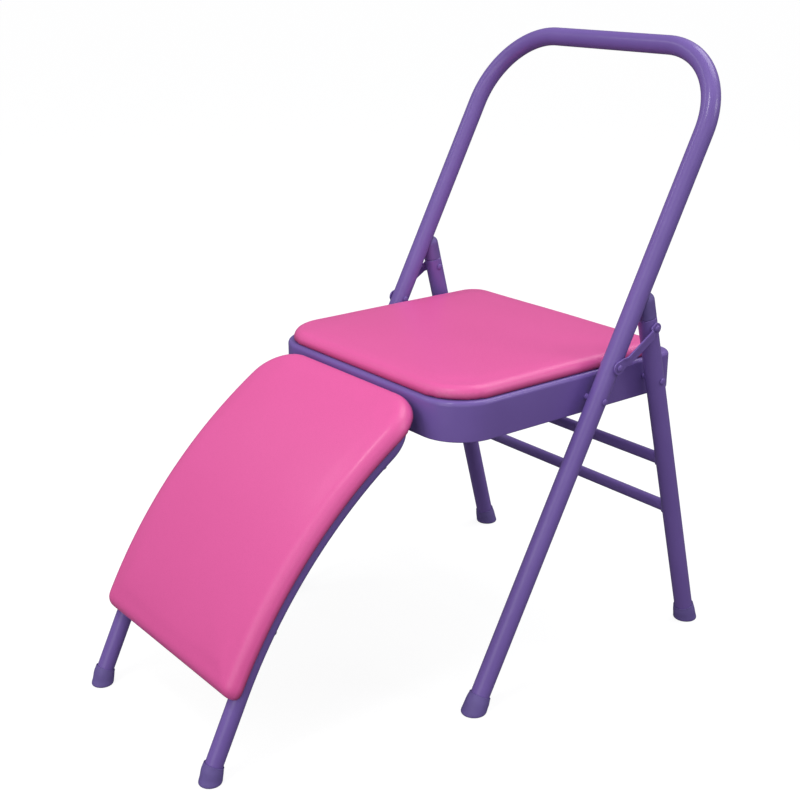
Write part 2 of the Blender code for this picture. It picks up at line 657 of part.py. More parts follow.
def link_blank(length):
    """The flat blank of a hinge link in (along, across): two round eyes and a straight waist."""
    low = math.asin(LINK_HALF_WIDTH / LINK_LOWER_RADIUS)
    high = math.asin(LINK_HALF_WIDTH / LINK_UPPER_RADIUS)
    eyes = ((0, LINK_LOWER_RADIUS, math.pi, low), (length, LINK_UPPER_RADIUS, math.pi - high, 0))
    upper_edge = []
    for middle, radius, first, last in eyes:
        for a in np.linspace(first, last, CORNER_STEPS + 2):
            upper_edge.append((middle + radius * math.cos(a), radius * math.sin(a)))
    lower_edge = [(along, -across) for along, across in upper_edge[-2:0:-1]]
    return upper_edge + lower_edge


def build_link(side, sign):
    """A strap cut as a flat blank, then pressed: its middle is raised off the tubes and its
    upper edge a little more. Its rivet at the upper end comes with it."""
    length = (LINK_END - LINK_AXIS).length
    work = bmesh.new()
    work.faces.new([work.verts.new((along, across, 0)) for along, across in link_blank(length)])
    low = LINK_LOWER_RADIUS
    high = length - LINK_UPPER_RADIUS
    cut_across(work, 0, (low, low + LINK_STEP, high - LINK_STEP, high))
    cut_across(work, 1, (LINK_EDGE_START, LINK_EDGE_START + LINK_EDGE_RAISE))
    along_link = (LINK_END - LINK_AXIS).normalized()
    across_link = ALONG_X.cross(along_link)
    base = HALF_SPACING + TUBE_RADIUS + GAP
    for vert in work.verts:
        along, across, _ = vert.co
        raised = low + LINK_STEP - MERGE < along < high - LINK_STEP + MERGE
        edge = across > LINK_EDGE_START + LINK_EDGE_RAISE - MERGE
        out = base + LINK_THICK / 2 + raised * (LINK_RAISE + LINK_EDGE_RAISE * edge)
        vert.co = LINK_AXIS + along_link * along + across_link * across + ALONG_X * sign * out
    link = add_wall(add_piece("hinge_link_" + side, work, PAINTED, LINK_AXIS), LINK_THICK)
    hole = RIVET_RADIUS + GAP
    for axis in (LINK_AXIS, LINK_END):
        drill(link, axis + ALONG_X * sign * base, ALONG_X, hole, 3 * LINK_THICK)
    over = base + LINK_THICK + GAP
    profile = [(0.0, base), (RIVET_RADIUS, base), (RIVET_RADIUS, over)]
    profile += dome(RIVET_HEAD_RADIUS, over, RIVET_HEAD_HEIGHT)
    name = "link_end_rivet_" + side
    turned(name, LINK_END, ALONG_X * sign, profile, PAINTED, LINK_AXIS)


def groove_tube(pad, sign):
    """Presses the leg of the rest into the lower end of the pad, where it passes under."""
    along = np.linspace(-2, 2, BEND_STEPS) * REST_TUBE_RADIUS
    path = [over_arch(sign * REST_HALF_SPACING, s, 0) for s in along]
    work = bevelled_line(path, REST_TUBE_RADIUS + GAP, SIDES, capped=True)
    cut(pad, add_piece(pad.name + "_groove", work, PLATED, FRAME_ORIGIN))


def build_front_rest():
    """The arched rest: bent tube, board, pad, screws and feet."""
    frame = hollow_tube("rest_frame", rest_path(), REST_TUBE_RADIUS, REST_AXIS)
    work = rounded_plate(*drawn_in(PAD_PLAN, REST_BOARD_INSET))
    thicken(work, REST_BOARD_THICK)
    cut_across(work, 1, np.linspace(0, PAD_LENGTH, ARCH_STEPS)[1:-1])
    bend_over_arch(work, REST_BOARD_BASE)
    board = add_piece("rest_board", work, PLYWOOD, REST_AXIS)
    pocket = REST_BOARD_BASE + REST_BOARD_THICK + GAP - PAD_BASE
    work = stuffed(PAD_PLAN, PAD_THICK, REST_BOARD_INSET - GAP, pocket)
    bend_over_arch(work, PAD_BASE)
    pad = add_piece("rest_pad", work, VINYL, REST_AXIS)
    length = REST_TUBE_RADIUS + REST_BOARD_BASE + REST_BOARD_THICK * SCREW_BITE
    foot = {"flare": REST_FOOT_SPREAD, "set_back": REST_FOOT_SET_BACK}
    for side, sign in SIDES_OF_CHAIR:
        groove_tube(pad, sign)
        floor = placed(sign * REST_HALF_SPACING, REST_FOOT_Y, 0)
        rubber_foot("rest_foot_" + side, floor, REST_UP, REST_TUBE_RADIUS, REST_AXIS, **foot)
        for row, along in (("lower", REST_SCREW_LOWER), ("upper", REST_SCREW_UPPER)):
            low = over_arch(sign * REST_HALF_SPACING, along, -REST_TUBE_RADIUS - GAP)
            high = over_arch(sign * REST_HALF_SPACING, along, 0)
            axis = (high - low).normalized()
            screw("rest_screw_" + row + "_" + side, low, axis, length, REST_AXIS)
            drill(frame, high, axis, SCREW_RADIUS + GAP, 2 * REST_TUBE_RADIUS)
            drill(board, low, axis, SCREW_RADIUS + GAP, length + GAP)


clear_scene()
build_front_frame()
build_seat()
build_rear_legs()
for side_name, side_sign in SIDES_OF_CHAIR:
    build_link(side_name, side_sign)
build_front_rest()
print("Pivots in metres:")
for label, spot in (("seat", SEAT_AXIS), ("leg", LEG_AXIS), ("link", LINK_AXIS), ("link end", LINK_END)):
    print(label, [round(value, 5) for value in spot])
print("rest", [round(value, 5) for value in REST_AXIS])
print("front feet y", round(SHIFT_Y, 5), "rear feet y", round(REAR_FOOT_Y + SHIFT_Y, 5))
print("rest feet y", round(REST_FOOT_Y + SHIFT_Y, 5))
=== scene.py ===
# %% [markdown]
# # A folding yoga chair with an arched front rest
#
# One hoop of painted tube makes both front legs and the backrest. Two rear legs, a pressed seat
# pan and two short links fold flat against it. An arched, padded rest hangs in front of the seat.
# The measured solids are loaded first and are never moved. Each piece that shows is then made
# again as a finer skin in the same place, gets its finish, and rides on the body that carries it.

import json
import math

import bmesh
import bpy
import numpy as np
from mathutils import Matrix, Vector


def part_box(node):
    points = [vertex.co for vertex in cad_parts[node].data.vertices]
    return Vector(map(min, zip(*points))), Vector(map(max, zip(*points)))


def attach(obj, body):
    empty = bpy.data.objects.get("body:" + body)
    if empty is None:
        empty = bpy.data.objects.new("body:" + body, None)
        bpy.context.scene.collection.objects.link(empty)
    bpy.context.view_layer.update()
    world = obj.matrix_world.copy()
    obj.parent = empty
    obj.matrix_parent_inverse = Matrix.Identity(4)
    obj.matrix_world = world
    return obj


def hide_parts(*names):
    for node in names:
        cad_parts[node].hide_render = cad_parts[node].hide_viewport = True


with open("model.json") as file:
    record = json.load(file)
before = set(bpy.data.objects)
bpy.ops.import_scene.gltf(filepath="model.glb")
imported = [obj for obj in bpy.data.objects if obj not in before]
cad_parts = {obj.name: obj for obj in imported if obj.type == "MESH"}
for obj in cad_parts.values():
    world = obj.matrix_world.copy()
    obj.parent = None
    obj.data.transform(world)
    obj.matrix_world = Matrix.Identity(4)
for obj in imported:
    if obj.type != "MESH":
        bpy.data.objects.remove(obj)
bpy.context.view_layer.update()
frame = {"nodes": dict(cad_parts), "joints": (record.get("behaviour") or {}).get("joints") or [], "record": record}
scene = bpy.context.scene

# %% [markdown]
# ## Where things are
#
# The record that comes with the solids says where each foot stands and where each hinge turns.
# A line from a foot through a hinge is the centreline of a tube, so both leans follow from it.
# X points to the chair's right, the front of the seat points to -Y, and Z is up.

# %% Feet, hinges and leans
foot_at = {mount["name"]: np.array(mount["pos_m"]) for mount in frame["record"]["mounts"]}
hinge_at = {joint["name"]: np.array(joint["pos_m"]) for joint in frame["joints"]}
SIDES_OF_CHAIR = (("right", 1.0), ("left", -1.0))
ALONG_X = np.array((1.0, 0.0, 0.0))
ALONG_Z = np.array((0.0, 0.0, 1.0))


def lean_line(foot, hinge):
    """Unit vector in the side view that points from a foot up to a hinge."""
    rise = hinge[1:] - foot[1:]
    return np.array((0.0, *(rise / np.hypot(*rise))))


HALF_SPACING = foot_at["front_foot_right"][0]
FRONT_FLOOR = foot_at["front_foot_right"] * (0, 1, 0)
REAR_FLOOR = foot_at["rear_foot_right"] * (0, 1, 0)
FRONT_UP = lean_line(FRONT_FLOOR, hinge_at["seat_fold"])
REAR_UP = lean_line(REAR_FLOOR, hinge_at["rear_leg_fold"])
FRONT_NORMAL = np.cross(ALONG_X, FRONT_UP)
print("front lean", round(math.degrees(math.asin(FRONT_UP[1])), 2),
      "rear lean", round(math.degrees(math.asin(-REAR_UP[1])), 2))

# %% [markdown]
# ## Four small tools for shapes
#
# Almost everything on this chair is a tube, a turned button or a pressed sheet. Each of them is a
# surface of two numbers: how far along the piece, and how far round it. So a shape is worked out
# as one array of points in rows and columns, and one function joins neighbours with quads.
# Modelling by hand would give the same surface, but here a size can be changed in one place.

# %% A grid of points becomes a skin
MERGE = 1e-7
SHARP_FROM = math.radians(38)


def new_object(name, points, faces):
    """A mesh object at the origin, doubles merged, faces pointing out, smooth up to an angle."""
    mesh = bpy.data.meshes.new(name)
    mesh.from_pydata(np.asarray(points).reshape(-1, 3).tolist(), [], faces)
    work = bmesh.new()
    work.from_mesh(mesh)
    bmesh.ops.remove_doubles(work, verts=work.verts, dist=MERGE)
    bmesh.ops.recalc_face_normals(work, faces=work.faces)
    work.to_mesh(mesh)
    work.free()
    mesh.shade_smooth()
    mesh.set_sharp_from_angle(angle=SHARP_FROM)
    made = bpy.data.objects.new(name, mesh)
    scene.collection.objects.link(made)
    return made


def skin(name, grid, ends="caps"):
    """Quad (i, j) joins points (i, j), (i, j+1), (i+1, j+1) and (i+1, j), and rows close on
    themselves. The first and last row get one polygon each (caps), strips across X (ladder), or
    are joined to each other (ring)."""
    rows, columns = grid.shape[:2]
    number = np.arange(rows * columns).reshape(rows, columns)
    low, high = (number, np.roll(number, -1, 0)) if ends == "ring" else (number[:-1], number[1:])
    quads = np.stack([low, np.roll(low, -1, 1), np.roll(high, -1, 1), high], axis=-1)
    faces = quads.reshape(-1, 4).tolist()
    for row in (number[0], number[-1]) if ends != "ring" else ():
        if ends == "caps":
            faces.append(row.tolist())
        else:
            right, left = row[:columns // 2], row[::-1][:columns // 2]
            faces += np.stack([right[:-1], right[1:], left[1:], left[:-1]], axis=-1).tolist()
    return new_object(name, grid, faces)


# %% [markdown]
# A swept tube carries a section along a path. The section's first number goes sideways and its
# second along an "up" that is given for each point of the path, so nothing twists on the way.

# %% Sweep, turn, spline and arc
def unit(vectors):
    """Vectors at length one, by dividing by their lengths along the last axis."""
    return vectors / np.linalg.norm(vectors, axis=-1, keepdims=True)


def swept(path, up, section, closed=False):
    """point[i, j] = path[i] + section[j].x side[i] + section[j].y up[i], side = tangent x up."""
    path = np.asarray(path, float)
    ahead = np.roll(path, -1, 0) - np.roll(path, 1, 0) if closed else np.gradient(path, axis=0)
    tangent = unit(ahead)
    side = unit(np.cross(tangent, up))
    up = np.cross(side, tangent)
    return path[:, None] + section[..., :1] * side[:, None] + section[..., 1:] * up[:, None]


def ring(sides, radius=1.0):
    """Points on a circle: (cos a, sin a) times the radius, for a from 0 round to a full turn."""
    turn = np.linspace(0, 2 * math.pi, sides, endpoint=False)
    return np.stack([np.cos(turn), np.sin(turn)], axis=-1) * radius


def turned(start, axis, profile, sides=40):
    """point[i, a] = start + along[i] axis + radius[i] (cos a side + sin a up)."""
    axis = unit(np.asarray(axis, float))
    helper = ALONG_Z if abs(axis[2]) < 0.8 else ALONG_X
    side = unit(np.cross(helper, axis))
    up = np.cross(axis, side)
    around = ring(sides) @ np.stack([side, up])
    profile = np.asarray(profile, float)
    return start + profile[:, 1, None, None] * axis + profile[:, 0, None, None] * around


def spline(points, steps):
    """Catmull-Rom curve through the points. Between b and c, with a before and d after, it is
    half of 2b + (c - a) t + (2a - 5b + 4c - d) t^2 + (3b - a - 3c + d) t^3, t from 0 to 1."""
    points = np.asarray(points, float)
    more = np.concatenate([2 * points[:1] - points[1:2], points, 2 * points[-1:] - points[-2:-1]])
    a, b, c, d = (more[k:len(more) - 3 + k, None] for k in range(4))
    t = np.linspace(0, 1, steps, endpoint=False)[None, :, None]
    curve = b + ((c - a) * t + (2*a - 5*b + 4*c - d) * t**2 + (3*b - a - 3*c + d) * t**3) / 2
    return np.concatenate([curve.reshape(-1, points.shape[1]), points[-1:]])


def arc(centre, radius, start, end, steps=8):
    """Points on part of a circle, from start to end in degrees: centre + radius (cos, sin)."""
    turn = np.radians(np.linspace(start, end, steps))
    return np.asarray(centre) + radius * np.stack([np.cos(turn), np.sin(turn)], axis=-1)


# %% [markdown]
# ## A small language for finishes
#
# A finish is a network of shader nodes. Written out node by node it is long and hard to read, so
# one class wraps an output of a node and lets plain sums make the Math nodes: `mask * 0.2 + 0.4`
# adds two of them. Everything else comes from a single method that names the node, its settings
# and its inputs.

# %% Sums on shader values
class Wire:
    """An output of a node in a finish. + - * with a number or another wire add Math nodes."""

    def __init__(self, finish, socket):
        self.finish = finish
        self.socket = socket

    def math(self, operation, first, second):
        return self.finish.add("Math", {"operation": operation}, {0: first, 1: second})

    def __add__(self, other):
        return self.math("ADD", self, other)

    def __sub__(self, other):
        return self.math("SUBTRACT", self, other)

    def __rsub__(self, other):
        return self.math("SUBTRACT", other, self)

    def __mul__(self, other):
        return self.math("MULTIPLY", self, other)

    __radd__ = __add__
    __rmul__ = __mul__


class Finish:
    """A material built from nodes. add() makes a node and gives back one of its outputs."""

    def __init__(self, name):
        self.material = bpy.data.materials.new(name)
        self.material.use_nodes = True
        self.tree = self.material.node_tree
        self.tree.nodes.clear()

    def add(self, kind, settings=None, inputs=None, output=0):
        node = self.tree.nodes.new("ShaderNode" + kind)
        for name, value in (settings or {}).items():
            setattr(node, name, value)
        for name, value in (inputs or {}).items():
            if isinstance(value, Wire):
                self.tree.links.new(value.socket, node.inputs[name])
            else:
                node.inputs[name].default_value = value
        return None if output is None else Wire(self, node.outputs[output])

    def place(self, scale=(1.0, 1.0, 1.0)):
        """Object coordinates, in metres, stretched by a scale."""
        spot = self.add("TexCoord", output="Object")
        return self.add("Mapping", inputs={"Vector": spot, "Scale": scale})

    def noise(self, place, scale, detail=2.0, rough=0.5):
        size = {"Vector": place, "Scale": scale, "Detail": detail, "Roughness": rough}
        return self.add("TexNoise", inputs=size)

    def blend(self, share, low, high):
        """A colour between two others: low where the share is 0, high where it is 1."""
        return self.add("Mix", {"data_type": "RGBA"}, {0: share, 6: low, 7: high}, output=2)

    def step(self, value, low, high):
        """0 below low, 1 above high, and a smooth rise between them."""
        limits = {"Value": value, "From Min": low, "From Max": high}
        return self.add("MapRange", {"interpolation_type": "SMOOTHSTEP"}, limits)

    def bump(self, height, distance, strength):
        size = {"Height": height, "Distance": distance, "Strength": strength}
        return self.add("Bump", inputs=size)

    def close(self, **sockets):
        """Ends the finish in a Principled shader. A socket's name is written with underscores."""
        values = {name.replace("_", " "): value for name, value in sockets.items()}
        shader = self.add("BsdfPrincipled", inputs=values)
        self.add("OutputMaterial", inputs={"Surface": shader}, output=None)
        return self.material


# %% [markdown]
# ## Finishes
#
# **Powder coat.** The tubes and the pan are sprayed with dry paint and baked. It flows a little
# as it melts, which leaves a shallow orange peel of about a millimetre and a half, and a soft
# shine over it. The colour is even; only very faint clouds keep it from looking like plastic film.

# %% Violet powder coat
VIOLET = (0.199, 0.123, 0.430, 1.0)
VIOLET_CLOUD = (0.188, 0.115, 0.410, 1.0)


def powder_coat():
    """Clouds 8 cm wide in the colour, a peel 1.5 mm wide in the height, a soft clear shine."""
    paint = Finish("violet_powder_coat")
    place = paint.place()
    cloud = paint.noise(place, 12.0)
    peel = paint.noise(place, 620.0, detail=1.0)
    grit = paint.noise(place, 2600.0, detail=0.0)
    colour = paint.blend(paint.step(cloud, 0.35, 0.65), VIOLET_CLOUD, VIOLET)
    relief = paint.bump(peel * 0.85 + grit * 0.15, 0.00010, 0.45)
    return paint.close(Base_Color=colour, Roughness=cloud * 0.08 + 0.38, Normal=relief,
                       Coat_Weight=0.34, Coat_Roughness=0.14, IOR=1.36)


PAINT = powder_coat()

# %% [markdown]
# **Artificial leather.** Seat and rest are covered in a stretched vinyl with a fine pebble grain.
# A grain is a pattern of cells with narrow valleys between them. A Voronoi texture gives the
# cells, and a slow noise bends them so that they don't look like a honeycomb.

# %% Pink artificial leather
PINK = (0.860, 0.124, 0.410, 1.0)
PINK_SOFT = (0.845, 0.120, 0.398, 1.0)
PINK_VALLEY = (0.790, 0.106, 0.358, 1.0)
# Painted shade: the deep colour the cover is darkened toward where it turns under onto the pan, in place of the
# shadow in that crease, and how strongly.
PINK_PAINTED_SHADE = (0.300, 0.030, 0.110, 1.0)
PAINTED_SHADE_STRENGTH = 0.80


def soft_vinyl():
    """Cells about a millimetre wide, bent by noise. Their valleys are darker and less shiny. Where the cover turns
    under, a point attribute darkens the colour toward a deep pink: painted shade in place of the shadow in that
    crease."""
    vinyl = Finish("pink_soft_vinyl")
    place = vinyl.place()
    bend = vinyl.add("TexNoise", inputs={"Vector": place, "Scale": 240.0, "Detail": 2.0}, output=1)
    shift = vinyl.add("VectorMath", {"operation": "SCALE"}, {0: bend, "Scale": 0.0011})
    moved = vinyl.add("VectorMath", {"operation": "ADD"}, {0: place, 1: shift})
    cells = vinyl.add("TexVoronoi", {"feature": "DISTANCE_TO_EDGE"},
                      {"Vector": moved, "Scale": 820.0})
    pebble = vinyl.step(cells, 0.0, 0.26)
    pores = vinyl.noise(place, 2400.0, detail=1.0)
    cloud = vinyl.noise(place, 9.0)
    even = vinyl.blend(vinyl.step(cloud, 0.3, 0.7), PINK_SOFT, PINK)
    colour = vinyl.blend(pebble * 0.75 + 0.25, PINK_VALLEY, even)
    # Painted shade: a point attribute, 1 where the cover turns under, mixes in the deep colour that stands for the
    # shadow there.
    tuck = vinyl.add("Attribute", {"attribute_name": "tuck"}, output=2)
    colour = vinyl.blend(tuck * PAINTED_SHADE_STRENGTH, colour, PINK_PAINTED_SHADE)
    relief = vinyl.bump(pebble * 0.8 + pores * 0.2, 0.00010, 0.45)
    return vinyl.close(Base_Color=colour, Roughness=0.41 - pebble * 0.07, Normal=relief,
                       Coat_Weight=0.14, Coat_Roughness=0.22, IOR=1.45)


VINYL = soft_vinyl()

# %% [markdown]
# **Rubber, plywood and zinc.** The feet and leg caps are moulded, a shade darker than the paint
# and duller. The hidden boards are plain plywood, whose grain runs from side to side. The screws
# are zinc plated, with the fine turning marks of a machine.

# %% Rubber, plywood and zinc plate
RUBBER_DARK = (0.150, 0.106, 0.330, 1.0)
RUBBER_LIGHT = (0.168, 0.120, 0.364, 1.0)
PLY_DARK = (0.400, 0.262, 0.145, 1.0)
PLY_LIGHT = (0.620, 0.460, 0.292, 1.0)
ZINC = (0.600, 0.605, 0.620, 1.0)


def moulded_rubber():
    """A dull skin with a fine even texture from the mould."""
    rubber = Finish("dark_violet_rubber")
    place = rubber.place()
    cloud = rubber.noise(place, 60.0)
    grain = rubber.noise(place, 1500.0, detail=1.0)
    colour = rubber.blend(rubber.step(cloud, 0.3, 0.7), RUBBER_DARK, RUBBER_LIGHT)
    return rubber.close(Base_Color=colour, Roughness=grain * 0.12 + 0.46,
                        Normal=rubber.bump(grain, 0.00010, 0.4), IOR=1.38)


def plain_plywood():
    """Grain lines stretched along X, with darker streaks and a slightly furry height."""
    wood = Finish("plain_plywood")
    place = wood.place((3.0, 60.0, 60.0))
    streak = wood.noise(place, 3.0, detail=5.0, rough=0.62)
    fibre = wood.noise(place, 22.0, detail=2.0)
    colour = wood.blend(wood.step(streak * 0.7 + fibre * 0.3, 0.32, 0.68), PLY_DARK, PLY_LIGHT)
    return wood.close(Base_Color=colour, Roughness=fibre * 0.2 + 0.6,
                      Normal=wood.bump(fibre, 0.0002, 0.4))


def zinc_plate():
    """Bright metal whose dullness changes in fine marks."""
    metal = Finish("zinc_plate")
    marks = metal.noise(metal.place(), 900.0, detail=3.0)
    return metal.close(Base_Color=ZINC, Metallic=1.0, Roughness=marks * 0.18 + 0.24,
                       Normal=metal.bump(marks, 0.00004, 0.5))


RUBBER = moulded_rubber()
PLYWOOD = plain_plywood()
STEEL = zinc_plate()
print("finishes:", [m.name for m in (PAINT, VINYL, RUBBER, PLYWOOD, STEEL)])


# %% [markdown]
# ## Dressing a piece
#
# A new skin gets its finish, rides on the body that carries it, and stands for the measured solids that it covers.


def dress(piece, body, finish, *nodes):
    """Finish, body and the solids that the piece stands for."""
    piece.data.materials.append(finish)
    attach(piece, body)
    if nodes:
        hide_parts(*nodes)
    return piece


# %% [markdown]
# ## The front hoop
#
# One tube is bent twice, with a wide radius, so that it runs up one leg, across the top and down
# the other. A curve object with a round bevel would also do. A sweep is used here because the
# same function later makes the arched rest, whose bend isn't flat.

# %% The front hoop
TUBE_RADIUS = 0.0125
TUBE_WALL = 0.0013
HOOP_CORNER = 0.110
SOLE = 0.0103
TUBE_SIDES = 56


def hollow(path, up, radius, sides=TUBE_SIDES):
    """Outer skin along the path and inner skin back again, one closed wall."""
    around = ring(sides)
    outer = swept(path, up, around * radius)
    inner = swept(path, up, around * (radius - TUBE_WALL))
    return np.concatenate([outer, inner[::-1]])


def two_legs(half, upright, top, corner, bend_steps, bar_steps):
    """Flat centreline (across, up): the right leg, a quarter circle into the bar at the top, and
    the same mirrored down the left side."""
    bend = arc((half - corner, top - corner), corner, 0, 90, bend_steps)
    leg = np.stack([np.full(len(upright), half), upright], axis=-1)
    right = np.concatenate([leg, bend])
    across = np.linspace(1, -1, bar_steps)[1:-1] * (half - corner)
    bar = np.stack([across, np.full(len(across), top)], axis=-1)
    return np.concatenate([right, bar, right[::-1] * (-1, 1)])


hoop_top = (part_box("front_hoop")[1][2] - TUBE_RADIUS) / FRONT_UP[2]
leg_points = np.linspace(SOLE, hoop_top - HOOP_CORNER, 12)[:-1]
flat_hoop = two_legs(HALF_SPACING, leg_points, hoop_top, HOOP_CORNER, bend_steps=40, bar_steps=9)
hoop_path = FRONT_FLOOR + flat_hoop[:, :1] * ALONG_X + flat_hoop[:, 1:] * FRONT_UP
hoop = skin("hoop_tube", hollow(hoop_path, FRONT_NORMAL, TUBE_RADIUS), ends="ring")
dress(hoop, "front_frame", PAINT, "front_hoop")
print("hoop:", len(hoop.data.vertices), "points")

# %% [markdown]
# ## Rear legs and stretchers
#
# The rear legs are straight. Two thin stretchers are welded between them. A weld is a bead that
# follows the line where one round tube meets another. That line has a formula: going round the
# thin tube, the bead lies where the thick tube's surface is, at x = side - sqrt(R^2 - q^2), q
# being how far the point is from the thick tube's middle plane.

# %% Rear legs, stretchers and welds
STRETCHER_RADIUS = 0.008
WELD_RADIUS = 0.0016
WELD_SINK = 0.25
WELD_RIPPLES = 26
WELD_RIPPLE = 0.10
WELD_DRIFT = 0.06
ROD_DEPTH = 0.6
LEG_CHAMFER = 0.0008
CAP_SEAM_HEIGHT = 0.4673
CAP_SEAM = CAP_SEAM_HEIGHT / REAR_UP[2]
for side, sign in SIDES_OF_CHAIR:
    base = REAR_FLOOR + sign * HALF_SPACING * ALONG_X
    reach = np.array((SOLE, 0.1, 0.2, 0.3, 0.4, CAP_SEAM - LEG_CHAMFER, CAP_SEAM))
    wall = hollow(base + reach[:, None] * REAR_UP, ALONG_X, TUBE_RADIUS)
    rim = len(reach) - 1
    middle = base + CAP_SEAM * REAR_UP
    wall[rim] = middle + (wall[rim] - middle) * (1 - LEG_CHAMFER / TUBE_RADIUS)
    leg = skin("rear_tube_" + side, wall, ends="ring")
    dress(leg, "rear_legs", PAINT, "rear_leg_" + side)


def weld_line(centre, sign, sides=104):
    """Line on the leg round the stretcher: x = side - sqrt(R^2 - q^2)."""
    around = ring(sides, STRETCHER_RADIUS + WELD_RADIUS * WELD_SINK)
    across = np.cross(ALONG_X, REAR_UP)
    depth = np.sqrt(TUBE_RADIUS**2 - around[:, 0]**2)
    spot = centre + around[:, :1] * across + around[:, 1:] * REAR_UP
    return spot + (sign * (HALF_SPACING - depth))[:, None] * ALONG_X


def weld(name, centre, sign):
    """A bead of thickness r (1 + ripple cos(n a) + drift sin(3 a)) along its closed line."""
    line = weld_line(centre, sign)
    turn = np.linspace(0, 2 * math.pi, len(line), endpoint=False)
    wave = WELD_RIPPLE * np.cos(WELD_RIPPLES * turn) + WELD_DRIFT * np.sin(3 * turn)
    thick = WELD_RADIUS * (1 + wave)
    beads = swept(line, ALONG_X, ring(12)[None] * thick[:, None, None], closed=True)
    return dress(skin(name, beads, ends="ring"), "rear_legs", PAINT)


for level in ("upper", "lower"):
    low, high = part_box(level + "_stretcher")
    height = (low[2] + high[2]) / 2
    centre = REAR_FLOOR + height / REAR_UP[2] * REAR_UP
    ends = np.linspace(-1, 1, 9) * (HALF_SPACING - TUBE_RADIUS * ROD_DEPTH)
    rod = hollow(centre + ends[:, None] * ALONG_X, REAR_UP, STRETCHER_RADIUS, 40)
    dress(skin(level + "_rod", rod, ends="ring"), "rear_legs", PAINT, level + "_stretcher")
    for side, sign in SIDES_OF_CHAIR:
        weld(level + "_weld_" + side, centre, sign)
print("rear tubes end", CAP_SEAM_HEIGHT, "up; the lower rod is", round(float(height), 4), "up")

# %% [markdown]
# ## Rubber feet
#
# Each foot is moulded to stand flat on the floor while its collar stays square to the leaning
# tube. So the rings of its surface turn step by step: flat at the sole, square at the collar.
# The sole has shallow grooves, and the collar ends in a round lip that stands off the paint.

# %% Rubber feet
FOOT_HEIGHT = 0.0245
FOOT_SPREAD = 0.00375
FOOT_HEEL = 0.0022
GROOVES = (0.30, 0.52, 0.74)
GROOVE_DEPTH = 0.0008
COLLAR = 0.0016
LIP_GAP = 0.0006
GAP = 0.0003


def foot_rows(radius, spread):
    """Rows of (distance up, radius, how square to the tube) from the sole's middle to the bore."""
    wide = radius + spread
    collar = radius + COLLAR
    sole = [(0, 0, 0)]
    for share in GROOVES:
        edge = wide * share
        sole += [(0, edge - 0.0010, 0), (GROOVE_DEPTH, edge - 0.0006, 0),
                 (GROOVE_DEPTH, edge, 0), (0, edge + 0.0004, 0)]
    sole.append((0, wide - 0.0026, 0))
    lower = arc((FOOT_HEEL, wide - FOOT_HEEL), FOOT_HEEL, 200, 90, 8)
    heel = [(up, out, 0.02 * n) for n, (up, out) in enumerate(lower)]
    body = spline([(0.0034, wide + 0.00004, 0.18), (0.0085, wide - 0.15 * spread, 0.40),
                   (0.0160, collar + 0.28 * spread, 0.80), (0.0225, collar, 1.0)], 8).tolist()
    bead = (COLLAR - LIP_GAP) / 2
    lip = arc((FOOT_HEIGHT - bead, collar - bead), bead, 90, -90, 10)
    bore = [(0.0200, radius + LIP_GAP, 1.0), (0.0140, radius + GAP, 1.0)]
    return np.array(sole + heel + body + [(up, out, 1.0) for up, out in lip] + bore)


def rubber_foot(name, floor, up, radius, spread, set_back, sides=56):
    """point[i, a] = middle[i] + radius[i] (cos a X + sin a back[i]), back leaning with the row."""
    along, out, square = foot_rows(radius, spread).T
    facing = unit((1 - square)[:, None] * ALONG_Z + square[:, None] * up)
    back = np.cross(facing, ALONG_X)
    middle = floor + along[:, None] * up + (set_back * (1 - square))[:, None] * (0, 1, 0)
    around = ring(sides)
    turn = around[None, :, :1] * ALONG_X + around[None, :, 1:] * back[:, None]
    return skin(name, middle[:, None] + out[:, None, None] * turn)


for side, sign in SIDES_OF_CHAIR:
    across = sign * HALF_SPACING * ALONG_X
    for end, body, floor, up in (("front", "front_frame", FRONT_FLOOR, FRONT_UP),
                                 ("rear", "rear_legs", REAR_FLOOR, REAR_UP)):
        foot = rubber_foot(end + "_ferrule_" + side, floor + across, up, TUBE_RADIUS,
                           FOOT_SPREAD, 0.0)
        dress(foot, body, RUBBER, end + "_foot_" + side)
print("each foot:", len(foot.data.vertices), "points")

# %% [markdown]
# ## Caps on the rear legs
#
# The cap closes the tube and is also the chair's stop: opened out, it rests against the back of
# the front tube and is hollowed there. The dome is turned first. Every point that would then lie
# inside the front tube is pushed straight out to that tube's surface.

# %% Leg caps
CAP_LENGTH = 0.0345
CAP_SHOULDER = 0.0010
CAP_STEM_INSET = 0.0016
CAP_STEM = 0.0050
CAP_WALL = 0.68
CAP_DOME = 0.30
CAP_FULLNESS = 0.85


def dome(radius, base, rise, fullness, angles, steps):
    """Rows (radius cos^k a, base + rise sin a) of a turned dome, a between two angles."""
    a = np.radians(np.linspace(*angles, steps))
    out = radius * np.clip(np.cos(a), 0, 1)**fullness
    return np.stack([out, base + rise * np.sin(a)], axis=-1).tolist()


def seat_on_tube(points, centre, clear):
    """Moves points closer than clear to the front tube's centreline out to that distance."""
    along = ((points - centre) @ FRONT_UP)[..., None] * FRONT_UP
    off = points - centre - along
    distance = np.linalg.norm(off, axis=-1, keepdims=True)
    return np.where(distance < clear, centre + along + off / distance * clear, points)


